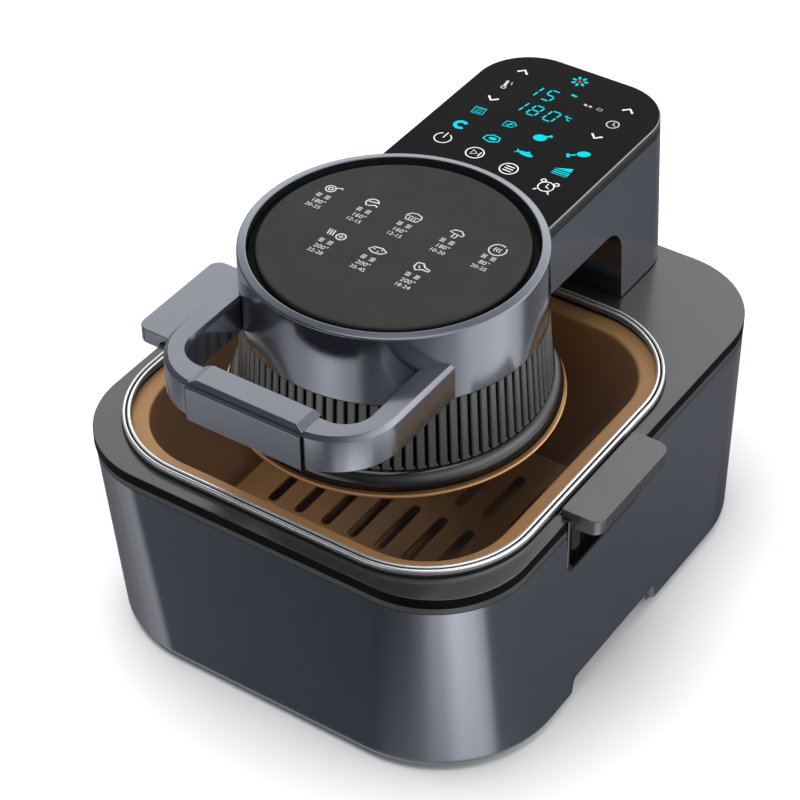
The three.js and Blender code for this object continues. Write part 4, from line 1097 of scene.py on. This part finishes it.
DISC_TOP = span("menu_disc")[5]
MENU = [  # symbol, centre, temperature, minutes
    ("wing", -62, -9, "180", "20-25"), ("shell", -33, -8, "160", "12-15"), ("bun", -4.5, -7, "160", "12-15"),
    ("mushroom", 26, -7, "180", "10-20"), ("heat", 55, -7, "80", "20-25"),
    ("chips", -34, -46, "200", "22-28"), ("yam", -3.8, -46, "200", "35-45"),
    ("pepper", 27.5, -46, "200", "18-24"),
]
SYMBOLS = {
    "wing": [("ring", (-1, -0.5), 3.2, 0.9), ("ring", (-1, -0.5), 1.4, 0.9),
             ("line", 1.0, (1.6, 1.6), (5.0, 3.6), (5.6, 1.8))],
    "shell": [("ring", (-0.5, 0), 4.0, 1.0, 20, 250), ("line", 1.0, (-3.6, 0.6), (3.6, 1.6)),
              ("line", 1.0, (-1.4, -3.4), (2.4, -1.2), (4.6, -2.2))],
    "bun": [("line", 0.9, (-5, 0.6), (-3.4, 3.4), (0.4, 4.4), (4.2, 3), (5.2, 0.4)),
            ("loop", 0.9, (-5, 0.6), (5.2, 0.4), (3.8, -3.4), (-3.6, -3.4)),
            *(("line", 0.7, (step, -0.2), (step * 0.9, -2.6)) for step in (-2, 0, 2))],
    "mushroom": [("loop", 1.0, (-4.6, 0.4), (-2.6, 3.4), (1.4, 3.9), (4.6, 1.4), (4.2, -0.6)),
                 ("line", 0.9, (-0.8, -0.2), (-1.4, -3.8), (1.4, -3.9), (1.4, -0.4))],
    "heat": [("ring", (0, 0), 5.4, 0.9, 60, 400),
             *(("line", 0.7, (step, 2), (step - 0.5, 0), (step + 0.4, -2)) for step in (-1.8, 0, 1.8))],
    "chips": [*(("line", 0.9, (step - 1, 3), (step, -2.4)) for step in (-4.4, -2.6, -0.8)),
              ("ring", (4.4, -0.6), 3.0, 0.9), ("line", 0.6, (2.4, -0.6), (6.4, -0.6)),
              ("line", 0.6, (4.4, 1.4), (4.4, -2.6))],
    "yam": [("loop", 1.0, (-5.6, -1), (-3.4, 2.4), (1.6, 3.2), (5.8, 1), (3.4, -2.2), (-1.8, -3)),
            *(("blob", seed, 0.6, 0.6, 0, 8) for seed in ((-2.4, 0.4), (0.6, -0.8), (2.2, 1.2)))],
    "pepper": [("loop", 1.1, (-4.8, 3.4), (-1.2, 4), (1.4, 1.2), (5.2, 0.4), (5, -1.4), (0.8, -1.2),
                (-2.6, -3.6), (-5, -0.6)),
               ("line", 0.8, (-2.6, 1.2), (-1.4, -0.8))],
}


def disc_symbols():
    ink = Ink("menu_marks", DISC_TOP, INK_GREY)
    for kind, x, y, heat, minutes in MENU:
        draw(ink, SYMBOLS[kind], x, y)
        # two stacks of plain ticks stand where a name would be
        for step in (-3.6, 2.6):
            for rise in (-1.1, 0.3, 1.7):
                ink.line([(x + step - 1.6, y - 9.4 + rise), (x + step + 1.6, y - 9.4 + rise)], 0.7)
        ink.text(heat + "°", x + 0.2, y - 15.4, 5.2)
        ink.text(minutes, x - 0.2, y - 20.6, 4.6)
    ink.make("lid")


# ---------------------------------------------------------------- small parts
def screw_head(name, centre, axis, radius, height, body, node):
    """A domed head with a cross recess, in place of the plain CAD screw. axis is the way the head looks."""
    dome = ((0.96, 0), (1, 0.15 / height), (1, 0.45), (0.86, 0.8), (0.55, 0.97), (0, 1))
    head = stack(name, spun([(radius * r, height * h) for r, h in dome], 0, 0, 40))
    arm, slim = radius * 0.62, radius * 0.12
    for a, b in ((slim, arm), (arm, slim)):
        cut(head, block("recess", -a, a, -b, b, height * 0.35, height * 2))
    head.data.transform(Matrix.Translation((0, -MID_Y, 0)))
    head.data.transform(Vector(axis).to_track_quat("Z", "Y").to_matrix().to_4x4())
    head.data.transform(Matrix.Translation(at(*centre)))
    finish(head, body, "screw_steel", node)


def build_screws():
    down, back = (0, 0, -1), (0, 1, 0)
    for side, sign in SIDES:
        low = span(f"handle_screw_{side}")[4]
        screw_head(f"screw_bracket_{side}", (sign * 153.5, HEAD_Y, low + 2.3), down, 3.4, 2.3, "base",
                   f"handle_screw_{side}")
        _, _, front, rear, low, _ = span(f"grip_screw_{side}")
        screw_head(f"screw_grip_{side}", (sign * 30, (front + rear) / 2, low + 1.6), down, 3.2, 1.6, "lid",
                   f"grip_screw_{side}")
        rear = span(f"hinge_screw_{side}")[3]
        screw_head(f"screw_hinge_{side}", (sign * 28, rear - 2.1, 133), back, 4.0, 2.1, "base",
                   f"hinge_screw_{side}")
    for which in ("lower", "upper"):
        rear, low, high = span(f"cover_screw_{which}")[3:]
        screw_head(f"screw_cover_{which}", (0, rear - 0.6, (low + high) / 2), back, 3.0, 0.6, "lid",
                   f"cover_screw_{which}")


def build_feet():
    for i in range(1, 5):
        left, right, front, rear, low, high = span(f"foot_{i}")
        profile = softened([(0, low, 0), (3.2, low, 0.1), (3.4, low + 1.2, 0.3), (5.4, low + 1.2, 0.3),
                            (5.6, low, 0.2), (10, low, 0.6), (12, low + 2, 0.8), (12, high, 0.2),
                            (0, high, 0)], 0.3, 3)
        foot = disc(f"rubber_foot_{i}", profile, (left + right) / 2, (front + rear) / 2, 64)
        finish(foot, "base", "rubber", f"foot_{i}")


def build_heater():
    """The sheathed element as one smooth cord along the CAD element's two turns."""
    level, top, turns, inner, outer, width = 168.0, 186.0, 2, 54.0, 78.0, 6.2
    steps, start = 96, 0.16
    path = [(inner, HEAD_Y, z) for z in (top, top - 6, level + 7)]
    for i in range(1, steps + 1):
        share = i / steps
        angle = start + share * (turns * math.tau - 2 * start)
        radius = mix(inner, outer, share)
        path.append((radius * math.cos(angle), radius * math.sin(angle) + HEAD_Y, level))
    path += [(outer, HEAD_Y, z) for z in (level + 7, top - 6, top)]
    coil = new_object("heater_coil", cords("heater_coil", [(path, width, False)], 4))
    finish(coil, "lid", "heater_steel", "heating_element", smooth=50)


def dress_cad_nodes():
    """CAD nodes whose shape is right keep it, with soft edges and their slot's material."""
    for name, node in frame["nodes"].items():
        if node.hide_render:
            continue
        node.data.materials.clear()
        node.data.materials.append(LOOKS[SLOT_OF[name]])
        for face in node.data.polygons:
            face.use_smooth = True
            face.material_index = 0
        node.data.set_sharp_from_angle(angle=math.radians(32))
        bevel(node, 0.35, 2, 45, apply=False)


# ---------------------------------------------------------------- floor, light and camera
def build_floor():
    reach = 30.0
    mesh = bpy.data.meshes.new("floor")
    corners = [(-reach, -reach, 0), (reach, -reach, 0), (reach, reach, 0), (-reach, reach, 0)]
    mesh.from_pydata(corners, [], [(0, 1, 2, 3)])
    floor = new_object("floor", mesh)
    pale = material("floor_pale", (0.86, 0.86, 0.86), 0.85, fleck=0.01, patch=0.01, patch_size=400, bump=0.02,
                    specular=0.1)
    floor.data.materials.append(pale)
    floor.visible_glossy = False


# Brightness all round, as (azimuth from the front towards the right, light). WALLS is seen mirrored by the
# base's walls, HEAD_SIDE by the round head's and ABOVE by faces that look up.
WALLS = [
    (-180, 0.07), (-150, 0.08), (-110, 0.14), (-90, 0.24), (-72, 0.45), (-58, 0.65), (-47, 0.1), (-36, 0.04),
    (0, 0.08), (14, 0.28), (34, 1.25), (56, 2.3), (74, 1.75), (84, 1.2), (94, 0.2), (145, 0.11), (168, 0.06),
    (180, 0.07)]
HEAD_SIDE = [
    (-180, 0.15), (-146, 0.08), (-104, 0.28), (-68, 0.2), (-40, 0.7), (-14, 1.5), (2, 1.0), (14, 0.14),
    (54, 0.1), (72, 0.5), (94, 1.5), (118, 1.7), (134, 1.1), (147, 0.17), (168, 0.15), (180, 0.15)]
ABOVE = [
    (-180, 1.0), (-138, 1.0), (-118, 0.6), (-98, 0.2), (-70, 0.1), (-30, 0.07), (10, 0.1), (35, 0.25),
    (62, 0.8), (95, 1.3), (125, 1.5), (150, 1.0), (180, 1.0)]
# share of ABOVE at each height over the horizon
RISE = [(0, 0.75), (12, 1.2), (24, 1.7), (40, 1.2), (52, 0.6), (66, 0.3), (90, 0.2)]
SHADE = (0.0, 0.004, 0.02)     # the dome's dark parts are a little blue
UNDERFOOT = 0.42               # straight down, which the rolled lower edges mirror
OVERHEAD = 1.7                 # straight up, for thin lines of light on rounded upper edges
BRIGHTEST = 4.0                # a ramp holds 0 to 1, so each is kept as a share of this
# heights, in degrees, over which each zone gives way to the next
FOOT_TO_WALLS, WALLS_TO_HEAD, HEAD_TO_ABOVE, ABOVE_TO_TOP = (-60, -52), (-41.8, -39.2), (-9, 5), (62, 74)


def build_world():
    """A studio dome of soft light panels, graded by direction."""
    world = bpy.data.worlds.new("studio")
    bpy.context.scene.world = world
    world.use_nodes = True
    tree = world.node_tree
    nodes, links = tree.nodes, tree.links
    place = nodes.new("ShaderNodeTexCoord")
    parts = nodes.new("ShaderNodeSeparateXYZ")
    links.new(place.outputs["Generated"], parts.inputs["Vector"])
    east, north, up = (parts.outputs[axis] for axis in "XYZ")

    def maths(operation, a, b=0.0):
        node = nodes.new("ShaderNodeMath")
        node.operation = operation
        for socket, value in zip(node.inputs, (a, b)):
            feed(tree, socket, value)
        return node.outputs["Value"]

    def ramp(position, low, high, stops):
        node = nodes.new("ShaderNodeValToRGB")
        node.color_ramp.interpolation = "EASE"
        links.new(position, node.inputs["Fac"])
        elements = node.color_ramp.elements
        while len(elements) < len(stops):
            elements.new(0.5)
        for element, (where, _) in zip(elements, stops):
            element.position = (where - low) / (high - low)
        for element, (_, light) in zip(elements, stops):
            share = light / BRIGHTEST
            element.color = (share, share, share, 1)
        return maths("MULTIPLY", node.outputs["Color"], BRIGHTEST)

    def blend(heights, a, b):
        """a below the two heights, b above them and a mixture in between."""
        start, end = (math.sin(math.radians(h)) for h in heights)
        share = ranged(tree, up, 0.0, 1.0, start, end, "SMOOTHSTEP")
        return maths("ADD", maths("MULTIPLY", a, maths("SUBTRACT", 1.0, share)), maths("MULTIPLY", b, share))

    azimuth = maths("ARCTAN2", east, maths("MULTIPLY", north, -1.0))
    around = ranged(tree, azimuth, 0.0, 1.0, -math.pi, math.pi)
    height = ranged(tree, maths("ARCSINE", up), 0.0, 1.0, 0, math.pi / 2)
    walls, head_side, above = (ramp(around, -180, 180, stops) for stops in (WALLS, HEAD_SIDE, ABOVE))
    above = maths("MULTIPLY", above, ramp(height, 0, 90, RISE))
    low = blend(WALLS_TO_HEAD, walls, head_side)
    low = blend(FOOT_TO_WALLS, UNDERFOOT, low)
    above = blend(ABOVE_TO_TOP, above, OVERHEAD)
    total = blend(HEAD_TO_ABOVE, low, above)
    tint = nodes.new("ShaderNodeCombineColor")
    for channel, trace in zip(tint.inputs, SHADE):
        links.new(maths("ADD", total, trace), channel)
    links.new(tint.outputs["Color"], nodes["Background"].inputs["Color"])


def direction(azimuth, elevation):
    """The unit vector towards an azimuth, from the front towards the right, and an elevation, in radians."""
    flat = math.cos(elevation)
    return Vector((math.sin(azimuth) * flat, -math.cos(azimuth) * flat, math.sin(elevation)))


def add_light(name, azimuth, elevation, distance, size, power):
    light = bpy.data.lights.new(name, "AREA")
    light.shape = "DISK"
    light.size = size
    light.energy = power
    holder = new_object(name, light)
    away = direction(math.radians(azimuth), math.radians(elevation))
    holder.location = at(0, 0, 120) + away * distance
    holder.rotation_mode = "QUATERNION"
    holder.rotation_quaternion = away.to_track_quat("Z", "Y")
    holder.visible_glossy = False


def build_camera():
    """The camera that was fitted to the object's outlines."""
    azimuth, elevation, roll = math.radians(34.416), math.radians(39.735), math.radians(-0.7184)
    back = direction(azimuth, elevation)
    right = Vector((math.cos(azimuth), math.sin(azimuth), 0))
    up = back.cross(right)
    rolled_right = right * math.cos(roll) + up * math.sin(roll)
    rolled_up = up * math.cos(roll) - right * math.sin(roll)
    camera = bpy.data.cameras.new("camera")
    camera.sensor_width = 36
    camera.lens = 116.58
    camera.clip_start, camera.clip_end = 0.05, 50
    place = Matrix((rolled_right, rolled_up, back)).transposed().to_4x4()
    place.translation = at(699.06, -1050.52, 1173.12)
    holder = new_object("camera", camera)
    holder.matrix_world = place
    bpy.context.scene.camera = holder


for build in (build_housing, build_deck, build_wells, build_trims, build_pot, build_crisper,
              build_pot_handles, build_lid, build_head, build_handle, build_tower, panel_symbols,
              disc_symbols, build_screws, build_feet, build_heater, dress_cad_nodes, build_floor, build_world):
    build()
add_light("overhead", -60, 75, 2.4, 2.2, 60)
build_camera()
bpy.context.scene.view_settings.view_transform = "Standard"
bpy.context.scene.cycles.caustics_refractive = False
